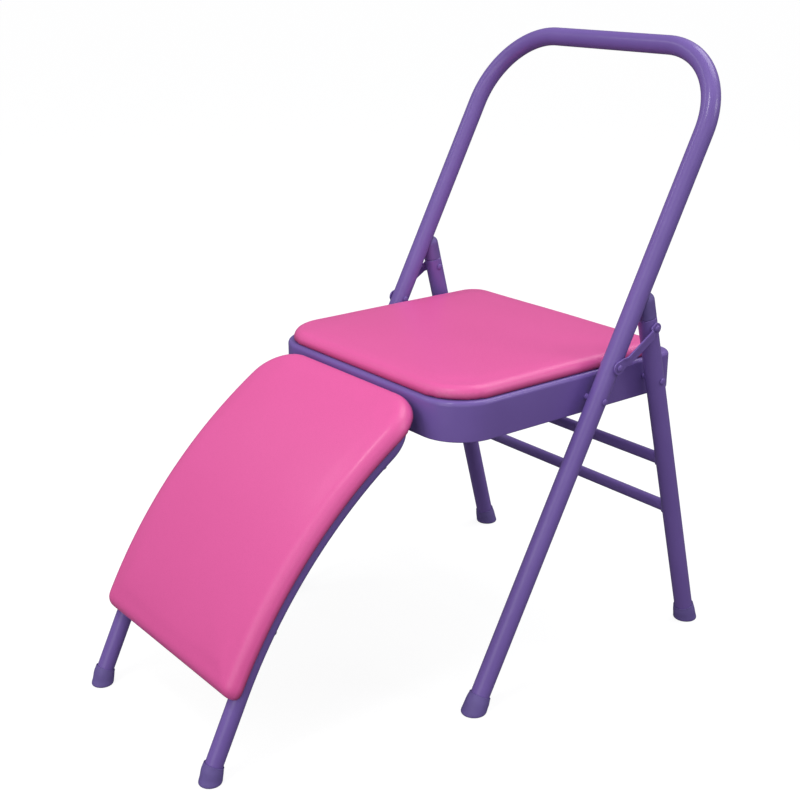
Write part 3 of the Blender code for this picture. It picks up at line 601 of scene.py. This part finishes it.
for side, sign in SIDES_OF_CHAIR:
    across = sign * HALF_SPACING * ALONG_X
    stem = TUBE_RADIUS - CAP_STEM_INSET
    flat = TUBE_RADIUS - CAP_SHOULDER
    shoulder = [(stem, -CAP_STEM), (stem, GAP), (flat, GAP)]
    edge = arc((flat, GAP + CAP_SHOULDER), CAP_SHOULDER, -70, 0, 5).tolist()
    wall = [(TUBE_RADIUS, up) for up in np.linspace(0.002, CAP_LENGTH * CAP_WALL, 26)]
    crown = dome(TUBE_RADIUS, CAP_LENGTH * (1 - CAP_DOME), CAP_LENGTH * CAP_DOME, CAP_FULLNESS,
                 (4, 90), 22)
    grid = turned(REAR_FLOOR + across + CAP_SEAM * REAR_UP, REAR_UP,
                  shoulder + edge + wall + crown, sides=72)
    grid = seat_on_tube(grid, FRONT_FLOOR + across, TUBE_RADIUS + GAP)
    dress(skin("leg_plug_" + side, grid), "rear_legs", RUBBER, "leg_cap_" + side)
print("each cap:", grid.shape[0], "rows of", grid.shape[1], "points")

# %% [markdown]
# ## Rivets and spacers
#
# Every pivot is a solid rivet with a low round head. Its head is a squashed half circle with a
# small skirt, turned about the rivet's axis. The measured solid tells how far each one reaches.
# Heads and spacer rings are a little narrower here than in the measured solids.

# %% Rivets and spacers
RIVET_SHANK = 0.0030
RIVET_HEAD = 0.0044
HEAD_HEIGHT = 0.0023
HEAD_SKIRT = 0.0004
HEAD_FULLNESS = 0.9
UNDERCUT = 0.0002
SPACER_RADIUS = 0.0038
SPACER_BREAK = 0.0003


def head_rows(outwards):
    """Rows (radius, height) of a head from its skirt to its crown: a short rim, then a dome."""
    rows = [(RIVET_HEAD - UNDERCUT, 0.0)]
    rows += dome(RIVET_HEAD, HEAD_SKIRT, HEAD_HEIGHT - HEAD_SKIRT, HEAD_FULLNESS, (0, 90), 12)
    return rows if outwards else rows[::-1]


def rivet(node, body, centre, heads):
    """Shank and heads between the two ends of the measured rivet, along X."""
    low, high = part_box(node)
    flip = low[0] < 0
    inner, outer = (-high[0], -low[0]) if flip else (low[0], high[0])
    rows = []
    if "inner" in heads:
        rows += [(out, inner + HEAD_HEIGHT - up) for out, up in head_rows(False)]
    else:
        rows.append((RIVET_SHANK, inner))
    rows.append((RIVET_SHANK, inner + HEAD_HEIGHT * ("inner" in heads)))
    rows.append((RIVET_SHANK, outer - HEAD_HEIGHT * ("outer" in heads)))
    if "outer" in heads:
        rows += [(out, outer - HEAD_HEIGHT + up) for out, up in head_rows(True)]
    else:
        rows.append((RIVET_SHANK, outer))
    start = np.array((0.0, centre[1], centre[2]))
    grid = turned(start, ALONG_X * (-1 if flip else 1), rows)
    return dress(skin(node.replace("rivet", "pin").replace("button", "pin"), grid), body, PAINT,
                 node)


both = ("inner", "outer")
link_low, link_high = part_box("link_end_rivet_right")
LINK_END = np.array((0.0, (link_low[1] + link_high[1]) / 2, (link_low[2] + link_high[2]) / 2))
for side, sign in SIDES_OF_CHAIR:
    rivet("seat_rivet_" + side, "front_frame", hinge_at["seat_fold"], both)
    rivet("link_rivet_" + side, "front_frame", hinge_at["link_fold"], both)
    rivet("leg_rivet_" + side, "rear_legs", hinge_at["rear_leg_fold"], both)
    rivet("link_end_rivet_" + side, "hinge_links", LINK_END, ("outer",))
    rivet("leg_button_" + side, "rear_legs", LINK_END, ("inner",))
    for label, joint in (("seat", "seat_fold"), ("leg", "rear_leg_fold")):
        node = label + "_boss_" + side
        low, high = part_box(node)
        near, far = sorted((abs(low[0]), abs(high[0])))
        shy, bore = SPACER_RADIUS - SPACER_BREAK, RIVET_SHANK + GAP
        ring_rows = [(shy, near), (SPACER_RADIUS, near + SPACER_BREAK),
                     (SPACER_RADIUS, far - SPACER_BREAK), (shy, far), (bore, far), (bore, near)]
        spacer = skin(label + "_spacer_" + side,
                      turned(hinge_at[joint] * (0, 1, 1), sign * ALONG_X, ring_rows), ends="ring")
        dress(spacer, "seat", PAINT, node)
print("spacers reach from", round(near, 4), "to", round(far, 4), "either side")

# %% [markdown]
# ## Hinge links
#
# Each link is a strap pressed from plate. It lies flat round its two rivets and bulges outwards
# between them, and its upper edge is pressed out further, which stiffens it. Along the strap the
# half width is the 8th root of the summed 8th powers of both eyes and the waist, a soft maximum;
# across it, one smooth step gives the raised edge. Both eyes are 1 mm smaller here than in the
# measured solids.

# %% Hinge links
LINK_THICK = 0.0024
LINK_LOWER_EYE = 0.0088
LINK_UPPER_EYE = 0.0076
LINK_WAIST = 0.0067
LINK_BLEND = 8
LINK_RAISE = 0.0030
LINK_EDGE = 0.0021
LINK_EDGE_STEP = (0.36, 0.47)
LINK_ROUNDING = (0.0007, 0.0002)
BULGE_AFTER_LOWER = (0.0090, 0.0170)
BULGE_BEFORE_UPPER = (0.0078, 0.0096)
WAIST_FADE = (0.0, 0.004)


def smooth_step(value, low, high):
    """0 below low, 1 above high, 3 t^2 - 2 t^3 between them."""
    t = np.clip((value - low) / (high - low), 0, 1)
    return t * t * (3 - 2 * t)


def link_grid(sign):
    """point = lower pivot + d along + w half(d) across + (base + raise(d, w) + t) outwards."""
    along = LINK_END - hinge_at["link_fold"]
    length = np.linalg.norm(along)
    along = along / length
    across = np.cross(ALONG_X, along)
    lower = -LINK_LOWER_EYE * np.cos(np.radians(np.linspace(3, 68, 22)))
    upper = length + LINK_UPPER_EYE * np.cos(np.radians(np.linspace(66, 3, 22)))
    d = np.concatenate([lower, np.linspace(lower[-1], upper[0], 44)[1:-1], upper])
    eye_low = np.sqrt(np.clip(LINK_LOWER_EYE**2 - d**2, 0, None))
    eye_high = np.sqrt(np.clip(LINK_UPPER_EYE**2 - (d - length)**2, 0, None))
    waist = LINK_WAIST * smooth_step(d, *WAIST_FADE) * smooth_step(length - d, *WAIST_FADE)
    half = (np.stack([eye_low, eye_high, waist])**LINK_BLEND).sum(0)**(1 / LINK_BLEND)
    bulge = smooth_step(d, *BULGE_AFTER_LOWER) * smooth_step(length - d, *BULGE_BEFORE_UPPER)
    w = np.concatenate([[-1, -0.97], np.linspace(-0.93, 0.93, 30), [0.97, 1]])
    rim, beside = LINK_ROUNDING
    drop = np.where(np.abs(w) > 0.99, rim, np.where(np.abs(w) > 0.95, beside, 0.0))
    edge = smooth_step(w, *LINK_EDGE_STEP) * (1 - smooth_step(w, 0.9, 1.3))
    lift = LINK_RAISE + LINK_EDGE * edge
    rise = bulge[:, None] * lift
    under = HALF_SPACING + TUBE_RADIUS + GAP + rise + drop
    over = HALF_SPACING + TUBE_RADIUS + GAP + rise + LINK_THICK - drop
    out = sign * np.concatenate([under, over[:, ::-1]], axis=1)
    sideways = half[:, None] * np.concatenate([w, w[::-1]])
    pivot = hinge_at["link_fold"] * (0, 1, 1)
    return (pivot + d[:, None, None] * along + sideways[..., None] * across
            + out[..., None] * ALONG_X)


for side, sign in SIDES_OF_CHAIR:
    strap = skin("link_strap_" + side, link_grid(sign))
    dress(strap, "hinge_links", PAINT, "hinge_link_" + side)
print("link pivots are", round(float(np.linalg.norm(LINK_END - hinge_at["link_fold"])), 4), "apart")

# %% [markdown]
# ## The seat pan
#
# The pan is pressed from sheet: a rounded rectangle seen from above, a rolled edge, a deep skirt,
# and a narrow lip turned in at the bottom. Its surface is a stack of the same outline, drawn in
# by a different inset at each height. An outline that is drawn in keeps its straight sides and
# gets tighter corners, which is just what a tool that presses sheet does.

# %% Rounded rectangle
CORNER_STEPS = 22
EDGE_STEPS = 46


def rounded_outline(half, front, rear, front_corner, rear_corner, inset):
    """Right side from front to rear, then the left side back, so that point i and point -1-i
    mirror each other. Corners are arcs of radius corner - inset."""
    half, front, rear = half - inset, front + inset, rear - inset
    near = max(front_corner - inset, 0.001)
    far = max(rear_corner - inset, 0.001)
    low = arc((half - near, front + near), near, -90, 0, CORNER_STEPS)
    high = arc((half - far, rear - far), far, 0, 90, CORNER_STEPS)
    edge = np.linspace(low[-1], high[0], EDGE_STEPS)[1:-1]
    right = np.concatenate([low, edge, high])
    return np.concatenate([right, right[::-1] * (-1, 1)])


def stack(outline, rows):
    """One ring for each row (inset, height) of a profile: the outline drawn in and lifted."""
    rings = []
    for inset, height in rows:
        flat = outline(inset)
        rings.append(np.concatenate([flat, np.full((len(flat), 1), height)], axis=1))
    return np.array(rings)


# %% Seat pan
PAN_SHEET = 0.0015
PAN_EDGE = 0.006
PAN_LIP = 0.007
PAN_HEM = 0.0018
PAN_CORNERS = (0.058, 0.024)

pan_low, pan_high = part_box("seat_pan")


def pan_outline(inset):
    """The pan seen from above, drawn in."""
    return rounded_outline(pan_high[0], pan_low[1], pan_high[1], *PAN_CORNERS, inset)


def pan_rows():
    """Inner face from the middle of the top down to the lip, then the outer face up again."""
    top, bottom = pan_high[2], pan_low[2]
    inner = arc((PAN_EDGE, top - PAN_EDGE), PAN_EDGE - PAN_SHEET, 90, 180, 10)
    outer = arc((PAN_EDGE, top - PAN_EDGE), PAN_EDGE, 180, 90, 14)
    hem = arc((PAN_HEM, bottom + PAN_HEM), PAN_HEM, 270, 180, 8)
    lip = [(PAN_SHEET + 0.0010, bottom + PAN_SHEET + 0.0002), (PAN_LIP, bottom + PAN_SHEET),
           (PAN_LIP + 0.0004, bottom + PAN_SHEET / 2), (PAN_LIP, bottom)]
    skirt = [(PAN_SHEET, bottom + 0.003), (PAN_SHEET + 0.0003, bottom + PAN_SHEET + 0.0006)]
    return np.concatenate([inner, skirt, lip, hem, outer])


pan = skin("pressed_pan", stack(pan_outline, pan_rows()), ends="ladder")
dress(pan, "seat", PAINT, "seat_pan")
print("pan:", len(pan.data.vertices), "points")

# %% [markdown]
# ## The arch of the front rest
#
# In the side view the rest's tube rises straight from the floor, then follows part of a large
# circle until it reaches the seat. Any point near it is given by x, the distance s along the
# tube, and the lift off it. Tube, board and pad are all made in these three numbers and bent
# over the arch by one function.

# %% Bend over the arch
REST_RADIUS = 0.011
REST_SPREAD = 0.0030
REST_SET_BACK = 0.0042
LEG_SLOPE = math.radians(64.2)
ARCH_RADIUS = 0.632
STRAIGHT_RISE = 0.097
STRAIGHT = STRAIGHT_RISE / math.sin(LEG_SLOPE)
REST_CORNER = 0.045
rest_foot = foot_at["rest_foot_right"]
REST_SPACING = rest_foot[0]
REST_FLOOR = rest_foot * (0, 1, 0) - (0, REST_SET_BACK, 0)
REST_UP = np.array((0.0, math.cos(LEG_SLOPE), math.sin(LEG_SLOPE)))


def lift_direction(s):
    """Away from the tube: (0, -sin slope, cos slope), the slope falling as s / R on the arch."""
    slope = LEG_SLOPE - np.maximum(s, 0) / ARCH_RADIUS
    return np.stack([0 * slope, -np.sin(slope), np.cos(slope)], axis=-1)


def over_arch(points):
    """(x, s, lift) to a place: a straight line below s = 0, a circle of the arch's radius above."""
    x, s, lift = np.moveaxis(np.asarray(points, float), -1, 0)
    slope = LEG_SLOPE - np.maximum(s, 0) / ARCH_RADIUS
    below = STRAIGHT + np.minimum(s, 0)
    y = below * math.cos(LEG_SLOPE) + ARCH_RADIUS * (math.sin(LEG_SLOPE) - np.sin(slope))
    z = below * math.sin(LEG_SLOPE) + ARCH_RADIUS * (np.cos(slope) - math.cos(LEG_SLOPE))
    line = REST_FLOOR + np.stack([x, y, z], axis=-1)
    return line + lift[..., None] * lift_direction(s)


def along_to(y):
    """The s at which the arch passes this y, from sin slope = sin start - y / R."""
    flat = y - REST_FLOOR[1] - STRAIGHT * math.cos(LEG_SLOPE)
    return ARCH_RADIUS * (LEG_SLOPE - math.asin(math.sin(LEG_SLOPE) - flat / ARCH_RADIUS))


CROSSBAR = along_to(hinge_at["rest_swing"][1])
print("arch from 0 to", round(CROSSBAR, 4), "crossbar misses its hinge by",
      round(float(np.linalg.norm(over_arch((0, CROSSBAR, 0)) - hinge_at["rest_swing"])), 6))

# %% Rest tube and feet
leg_s = np.linspace(SOLE - STRAIGHT, 0, 5)[:-1]
arch_s = np.linspace(0, CROSSBAR - REST_CORNER, 40)[:-1]
flat_rest = two_legs(REST_SPACING, np.concatenate([leg_s, arch_s]), CROSSBAR, REST_CORNER,
                     bend_steps=24, bar_steps=7)
rest_path = over_arch(np.concatenate([flat_rest, np.zeros((len(flat_rest), 1))], axis=1))
rest_wall = hollow(rest_path, lift_direction(flat_rest[:, 1]), REST_RADIUS)
dress(skin("rest_tube", rest_wall, ends="ring"), "front_rest", PAINT, "rest_frame")
for side, sign in SIDES_OF_CHAIR:
    foot = rubber_foot("rest_ferrule_" + side, REST_FLOOR + sign * REST_SPACING * ALONG_X, REST_UP,
                       REST_RADIUS, REST_SPREAD, REST_SET_BACK)
    dress(foot, "front_rest", RUBBER, "rest_foot_" + side)
print("rest tube:", len(rest_path), "rows along it")

# %% [markdown]
# ## Cushions
#
# A cushion here is foam on a board, wrapped in vinyl that is pulled tight underneath. It is made
# flat in four steps. First a stack of outlines gives the foam block: a small turn under at the
# bottom, the widest line just above it, a long soft roll over to the top, and a low crown. Then
# the block is remeshed into even quads, and each point is drawn back onto the block, because a
# remesh rounds small edges off. The quads are blown up as cloth, held along the lower edge, and
# the way each point went is evened out with its neighbours', for this cover is taut and shows no
# folds. Each move is then held under a millimetre, so the profile gives the cushion its form and
# the cloth only loosens it. Last, the rest's pad is bent over the arch.

# %% Foam profile and even quads
VOXEL = 0.0040
CLOTH_PRESSURE = 4.0
CLOTH_FRAMES = 20
EVENING_ROUNDS = 30
# Painted shade: over these heights above the pan, the darkened colour at the cover's foot fades out.
PAINTED_SHADE_FADE = (0.0028, 0.0085)
LOWER_EDGE = 0.0022
TURN_IN = 0.0004
WIDEST = 0.0030
CROWN = 0.0020
POCKET_DEPTH = 0.36
SWELL_CAP = 0.0010


def foam_rows(thick, pocket, roll, fullness, reach):
    """Rows (inset, height). Below, (turn in (1 - sin a), widest (1 - cos a)); above it the roll,
    (roll (1 - cos^k a), widest + rise sin^k a), where a fullness k under 1 bulges more than an
    ellipse; then a crown that rises as crown (1 - (1 - t)^2)."""
    below = np.linspace(0, math.pi / 2, 9)
    over = np.linspace(0, math.pi / 2, 30)[1:]
    t = np.linspace(0, 1, 14)[1:]
    rise = thick - CROWN - WIDEST
    turn_under = [TURN_IN * (1 - np.sin(below)), WIDEST * (1 - np.cos(below))]
    turn_over = [roll * (1 - np.clip(np.cos(over), 0, 1)**fullness),
                 WIDEST + rise * np.sin(over)**fullness]
    top = [roll + (reach - roll) * t, thick - CROWN * (1 - t)**2]
    hollow_below = [(pocket, thick * POCKET_DEPTH), (pocket, 0.0)]
    return np.concatenate([hollow_below, np.transpose(turn_under), np.transpose(turn_over),
                           np.transpose(top)])


def points_of(mesh):
    """All points of a mesh as an array."""
    flat = np.empty(len(mesh.vertices) * 3)
    mesh.vertices.foreach_get("co", flat)
    return flat.reshape(-1, 3)


def even_quads(block, name):
    """A new object with the block's form in even quads that lie on the block. The block goes."""
    draft = bpy.data.objects.new(name + "_draft", block.data)
    scene.collection.objects.link(draft)
    remesh = draft.modifiers.new("even quads", "REMESH")
    remesh.mode = "VOXEL"
    remesh.voxel_size = VOXEL
    draft.modifiers.new("onto the block", "SHRINKWRAP").target = block
    graph = bpy.context.evaluated_depsgraph_get()
    mesh = bpy.data.meshes.new_from_object(draft.evaluated_get(graph))
    for old in (draft, block):
        bpy.data.objects.remove(old)
    mesh.name = name
    made = bpy.data.objects.new(name, mesh)
    scene.collection.objects.link(made)
    return made


# %% Cloth under pressure
def evened(mesh, step, free):
    """Each free point's move becomes the mean of its own and its neighbours' mean, many times."""
    ends = np.empty(len(mesh.edges) * 2, int)
    mesh.edges.foreach_get("vertices", ends)
    one, other = ends.reshape(-1, 2).T
    here, there = np.concatenate([one, other]), np.concatenate([other, one])
    count = np.bincount(here)[:, None]
    for _ in range(EVENING_ROUNDS):
        sums = [np.bincount(here, step[there, axis]) for axis in range(3)]
        step = (step + np.stack(sums, axis=-1) / count) / 2 * free[:, None]
    return step


def inflate(piece, held):
    """Blows the cover up as cloth, held where the mask says. The moves are evened out, and none
    goes further than the cap: cap tanh(d / cap) along its way."""
    rest = points_of(piece.data)
    group = piece.vertex_groups.new(name="held")
    group.add(np.flatnonzero(held).tolist(), 1.0, "REPLACE")
    cloth = piece.modifiers.new("cover", "CLOTH")
    settings = cloth.settings
    settings.quality = 5
    settings.mass = 0.25
    settings.tension_stiffness = 30
    settings.compression_stiffness = 30
    settings.shear_stiffness = 15
    settings.bending_stiffness = 2.0
    settings.use_pressure = True
    settings.uniform_pressure_force = CLOTH_PRESSURE
    settings.effector_weights.gravity = 0
    settings.vertex_group_mass = "held"
    for number in range(1, CLOTH_FRAMES + 1):
        scene.frame_set(number)
    graph = bpy.context.evaluated_depsgraph_get()
    moved = points_of(piece.evaluated_get(graph).data)
    scene.frame_set(1)
    piece.modifiers.clear()
    piece.vertex_groups.clear()
    step = evened(piece.data, moved - rest, ~held)
    length = np.linalg.norm(step, axis=1, keepdims=True) + 1e-12
    print(piece.name, "moved up to", round(float(length.max()) * 1000, 1), "mm as cloth, of which",
          SWELL_CAP * 1000, "mm at most is kept")
    return rest + step / length * SWELL_CAP * np.tanh(length / SWELL_CAP)


def cushion(name, outline, rows, place):
    """Foam block, even quads, cloth under pressure, then the place function sets it in the chair."""
    soft = even_quads(skin(name + "_block", stack(outline, rows), ends="ladder"), name)
    flat = points_of(soft.data)
    flat = inflate(soft, flat[:, 2] < LOWER_EDGE)
    # Painted shade mask: 1 at the foot of the cover, fading out higher up; the vinyl finish darkens the colour
    # there in place of shadow.
    tuck = soft.data.attributes.new("tuck", "FLOAT", "POINT")
    tuck.data.foreach_set("value", 1 - smooth_step(flat[:, 2], *PAINTED_SHADE_FADE))
    soft.data.vertices.foreach_set("co", place(flat).ravel())
    soft.data.update()
    smooth = soft.modifiers.new("round", "SUBSURF")
    smooth.levels = smooth.render_levels = 1
    soft.data.shade_smooth()
    return soft


# %% Seat cushion
COVER_OUT = 0.0032
SEAT_SETTLED = 0.0016
SEAT_POCKET = 0.0200
CUSHION_CORNERS = (0.0585, 0.0315)
cushion_low, cushion_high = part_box("seat_cushion")


def cushion_outline(inset):
    """The cushion seen from above, drawn in. Its cover bulges a little over the rim of the pan."""
    size = (cushion_high[0], cushion_low[1], cushion_high[1], *CUSHION_CORNERS)
    return rounded_outline(*size, inset - COVER_OUT)


def on_seat(points):
    """Flat heights are counted from the top of the pan."""
    return points + (0, 0, cushion_low[2])


seat_rows = foam_rows(cushion_high[2] - cushion_low[2] - SEAT_SETTLED, SEAT_POCKET + COVER_OUT,
                      roll=0.0135, fullness=0.92, reach=0.140)
seat_cushion = cushion("seat_cover", cushion_outline, seat_rows, on_seat)
dress(seat_cushion, "seat", VINYL, "seat_cushion")
print("seat cover:", len(seat_cushion.data.vertices), "points before its subdivision")

# %% Pad and board of the rest
PAD_BEYOND = 0.0255
PAD_BELOW = 0.0036
PAD_BASE = 0.0088
PAD_THICK = 0.0215
PAD_FULLER = 0.0026
PAD_NARROWER = 0.0010
PAD_CORNERS = (0.017, 0.058)
BOARD_INSET = 0.012
BOARD_BASE = 0.0114
BOARD_THICK = 0.006
BOARD_EDGE = 0.0006
PAD_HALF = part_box("rest_pad")[1][0] - PAD_NARROWER


def pad_outline(inset):
    """The pad laid flat, in (x, s), drawn in."""
    return rounded_outline(PAD_HALF, -PAD_BELOW, CROSSBAR + PAD_BEYOND, *PAD_CORNERS, inset)


def on_arch(points):
    """Flat heights are counted from the pad's lower face, and bent over the arch with it."""
    return over_arch(points + (0, 0, PAD_BASE))


pad_rows = foam_rows(PAD_THICK + PAD_FULLER, BOARD_INSET, roll=0.0190, fullness=0.93, reach=0.120)
pad = cushion("rest_cover", pad_outline, pad_rows, on_arch)
dress(pad, "front_rest", VINYL, "rest_pad")

board_top = BOARD_BASE + BOARD_THICK
board_rows = [(BOARD_INSET + BOARD_EDGE, BOARD_BASE), (BOARD_INSET, BOARD_BASE + BOARD_EDGE),
              (BOARD_INSET, board_top - BOARD_EDGE), (BOARD_INSET + BOARD_EDGE, board_top)]
board = skin("bent_board", over_arch(stack(pad_outline, board_rows)), ends="ladder")
dress(board, "front_rest", PLYWOOD, "rest_board")
print("rest cover:", len(pad.data.vertices), "points before its subdivision")

# %% [markdown]
# ## Hooks and screws
#
# The crossbar of the rest drops into two bent strips on the front of the pan. A strip is a flat
# section swept along its bent path. The screws that hold the boards have low round heads with a
# cross recess, which is a dent in the height of the head: deep where the distance to either
# arm's middle line is small.

# %% Hooks
HOOK_HALF = 0.010
HOOK_THICK = 0.003
HOOK_X = 0.065
HOOK_BEVEL = 0.0007
HOOK_RISE = 0.017
HOOK_FLAT = 0.008
HOOK_JOGGLE = ((0.0, 0.10), (0.35, 0.42), (1.35, 0.66))
HOOK_WRAP = 42


def hook_section():
    """A flat strip with rounded edges: (thickness, width) round its outline."""
    t, w = HOOK_THICK / 2 - HOOK_BEVEL, HOOK_HALF - HOOK_BEVEL
    corners = [((t, w), 0), ((-t, w), 90), ((-t, -w), 180), ((t, -w), 270)]
    return np.concatenate([arc(centre, HOOK_BEVEL, a, a + 90, 4) for centre, a in corners])


bar_y, bar_z = hinge_at["rest_swing"][1:]
flat_y = pan_low[1] - GAP - HOOK_THICK / 2
reach = REST_RADIUS + GAP + HOOK_THICK / 2
under_bar = arc((bar_y, bar_z), reach, HOOK_WRAP - 90, -HOOK_WRAP - 90, 9)
down = [(flat_y, bar_z + HOOK_RISE), (flat_y, bar_z + HOOK_FLAT)]
down += [(flat_y - HOOK_THICK * out, bar_z - reach * fall) for out, fall in HOOK_JOGGLE]
hook_line = spline(np.concatenate([down, under_bar]), 4)
for side, sign in SIDES_OF_CHAIR:
    path = np.concatenate([np.full((len(hook_line), 1), sign * HOOK_X), hook_line], axis=1)
    strip = skin("bar_hook_" + side, swept(path, ALONG_X, hook_section()))
    dress(strip, "seat", PAINT, "rest_hook_" + side)
print("each hook strip:", len(hook_line), "rows along its bend")

# %% Screws
SCREW_HEAD = 0.0042
SCREW_SHANK = 0.0022
SCREW_CROWN = 0.0024
SCREW_BITE = 0.75
SCREW_POINT = (0.0004, 0.0015)
CROSS_DEPTH = 0.0012
CROSS_ARM = (0.00035, 0.0007)
CROSS_REACH = (0.0018, 0.0027)
REST_SCREWS = (("lower", 0.084), ("upper", 0.320))


def screw_grid(start, axis, length):
    """A turned screw whose head has a cross pressed in: depth falls off with |x| or |y|."""
    tip, taper = SCREW_POINT
    crown = dome(SCREW_HEAD, 0.0, -SCREW_CROWN, 1.0, (90, 8), 18)
    rows = np.array(crown + [(SCREW_HEAD - UNDERCUT, 0.0), (SCREW_SHANK, 0.0),
                             (SCREW_SHANK, length - taper), (tip, length)])
    grid = turned(start, axis, rows, sides=64)
    flat = rows[:, 0, None, None] * ring(64)
    arms = np.minimum(np.abs(flat[..., 0]), np.abs(flat[..., 1]))
    far = np.hypot(flat[..., 0], flat[..., 1])
    dent = CROSS_DEPTH * (1 - smooth_step(arms, *CROSS_ARM)) * (1 - smooth_step(far, *CROSS_REACH))
    dent[len(crown):] = 0
    return grid + dent[..., None] * unit(np.asarray(axis, float))


def screw(node, body, start, axis, length):
    dress(skin(node.replace("screw", "bolt"), screw_grid(start, axis, length)), body, STEEL, node)


for side, sign in SIDES_OF_CHAIR:
    for row in ("front", "rear"):
        node = "seat_screw_" + row + "_" + side
        low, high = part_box(node)
        middle = np.array(((low[0] + high[0]) / 2, (low[1] + high[1]) / 2, low[2] + SCREW_CROWN))
        screw(node, "seat", middle, ALONG_Z, high[2] - middle[2])
    for row, s in REST_SCREWS:
        start = over_arch((sign * REST_SPACING, s, -REST_RADIUS - GAP))
        length = REST_RADIUS + BOARD_BASE + BOARD_THICK * SCREW_BITE
        screw("rest_screw_" + row + "_" + side, "front_rest", start, lift_direction(s), length)
print("rest screws are", round(length, 4), "long under their heads")

# %% [markdown]
# ## The solids that stay
#
# The board under the seat cushion and the plates inside the skirt are plain enough to stay as
# they were measured. They only get their finish.

# %% Finish the solids that stay
for node, finish in (("seat_board", PLYWOOD), ("pivot_plate_right", PAINT),
                     ("pivot_plate_left", PAINT)):
    frame["nodes"][node].data.materials.clear()
    frame["nodes"][node].data.materials.append(finish)

# %% [markdown]
# ## Floor, light and camera
#
# The picture was taken in a white studio. The camera sees the floor and the surroundings white.
# The gloss on the paint sees a dim, even world instead, and everything else is lit by a world at
# a plain level. Seven soft white lamps stand round the chair, all equally far from it: the
# strongest is high behind, and a small one high in front puts the shine on top of the tubes.

# %% Floor
FLOOR_GLOW = 0.88
FLOOR_LIT = 0.20
FLOOR_BOUNCE = 0.12
FLOOR_HALF = 40.0


def grey(level):
    """A neutral colour of this level."""
    return (level, level, level, 1.0)


def studio_floor():
    """To the camera: mostly its own white, plus a share that shows the shadow. To light that
    bounces: a plain grey."""
    floor = Finish("studio_floor")
    path = floor.add("LightPath", output="Is Camera Ray")
    glow = floor.add("Emission", inputs={"Color": grey(1.0), "Strength": FLOOR_GLOW})
    lit = floor.add("BsdfDiffuse", inputs={"Color": grey(FLOOR_LIT)})
    seen = floor.add("AddShader", inputs={0: glow, 1: lit})
    bounce = floor.add("BsdfDiffuse", inputs={"Color": grey(FLOOR_BOUNCE)})
    both_ways = floor.add("MixShader", inputs={0: path, 1: bounce, 2: seen})
    floor.add("OutputMaterial", inputs={"Surface": both_ways}, output=None)
    return floor.material


corners = [(-1, -1), (1, -1), (1, 1), (-1, 1)]
floor = new_object("floor", [(x * FLOOR_HALF, y * FLOOR_HALF, 0.0) for x, y in corners],
                   [(0, 1, 2, 3)])
floor.data.materials.append(studio_floor())

# %% Surroundings
world = bpy.data.worlds.new("studio")
scene.world = world
world.use_nodes = True
air = world.node_tree
air.nodes.clear()
rays = air.nodes.new("ShaderNodeLightPath")
AIR_COLOUR = (0.98, 0.98, 1.0, 1.0)
AIR_LEVEL = 0.58
GLOSS_LEVEL = 0.14


def background(colour, strength):
    """One even world of this colour and strength."""
    node = air.nodes.new("ShaderNodeBackground")
    node.inputs["Color"].default_value = colour
    node.inputs["Strength"].default_value = strength
    return node.outputs[0]


def for_rays(kind, seen, others):
    """One world for this kind of ray and another for all others."""
    node = air.nodes.new("ShaderNodeMixShader")
    for number, source in enumerate((rays.outputs[kind], others, seen)):
        air.links.new(source, node.inputs[number])
    return node.outputs[0]


lit_air = for_rays("Is Glossy Ray", background(grey(1.0), GLOSS_LEVEL),
                   background(AIR_COLOUR, AIR_LEVEL))
seen_air = for_rays("Is Camera Ray", background(grey(1.0), 1.0), lit_air)
air.links.new(seen_air, air.nodes.new("ShaderNodeOutputWorld").inputs["Surface"])

# %% Lamps
AIM = np.array((0.0, 0.0, 0.40))
LAMP_DISTANCE = 2.8
LAMP_COLUMNS = ("name", "azimuth", "elevation", "size", "power")
LAMPS = (
    ("key", 16, 64, 0.55, 15.0),
    ("front", 8, 32, 1.4, 9.0),
    ("high_behind", 175, 56, 1.6, 26.0),
    ("right", 62, 22, 1.6, 7.0),
    ("rim", 130, 30, 0.7, 8.0),
    ("left", -50, 42, 0.7, 4.0),
    ("low", 20, 4, 1.6, 12.0),
)


def soft_lamp(name, azimuth, elevation, size, power):
    """A square lamp that faces the chair. Azimuth 0 is straight in front, 90 on its right side:
    place = aim + distance (sin a cos e, -cos a cos e, sin e)."""
    light = bpy.data.lights.new(name, "AREA")
    light.size = size
    light.energy = power
    lamp = bpy.data.objects.new(name, light)
    scene.collection.objects.link(lamp)
    a, e = math.radians(azimuth), math.radians(elevation)
    way = np.array((math.sin(a) * math.cos(e), -math.cos(a) * math.cos(e), math.sin(e)))
    lamp.location = AIM + way * LAMP_DISTANCE
    lamp.rotation_euler = (math.pi / 2 - e, 0, a)


for lamp in LAMPS:
    soft_lamp(*lamp)
    print("lamp:", dict(zip(LAMP_COLUMNS, lamp)))

# %% Camera
CAMERA_AZIMUTH = math.radians(51.87)
CAMERA_ELEVATION = math.radians(19.10)
CAMERA_FROM_FOOT = np.array((1.2934, -0.9645, 0.9166))
LENS = 59.45

camera_data = bpy.data.cameras.new("camera")
camera_data.lens = LENS
camera_data.clip_end = 200
camera = bpy.data.objects.new("camera", camera_data)
scene.collection.objects.link(camera)
camera.location = FRONT_FLOOR + CAMERA_FROM_FOOT
camera.rotation_euler = (math.pi / 2 - CAMERA_ELEVATION, 0, CAMERA_AZIMUTH)
scene.camera = camera
scene.view_settings.view_transform = "Standard"
print("camera at", [round(value, 3) for value in camera.location])
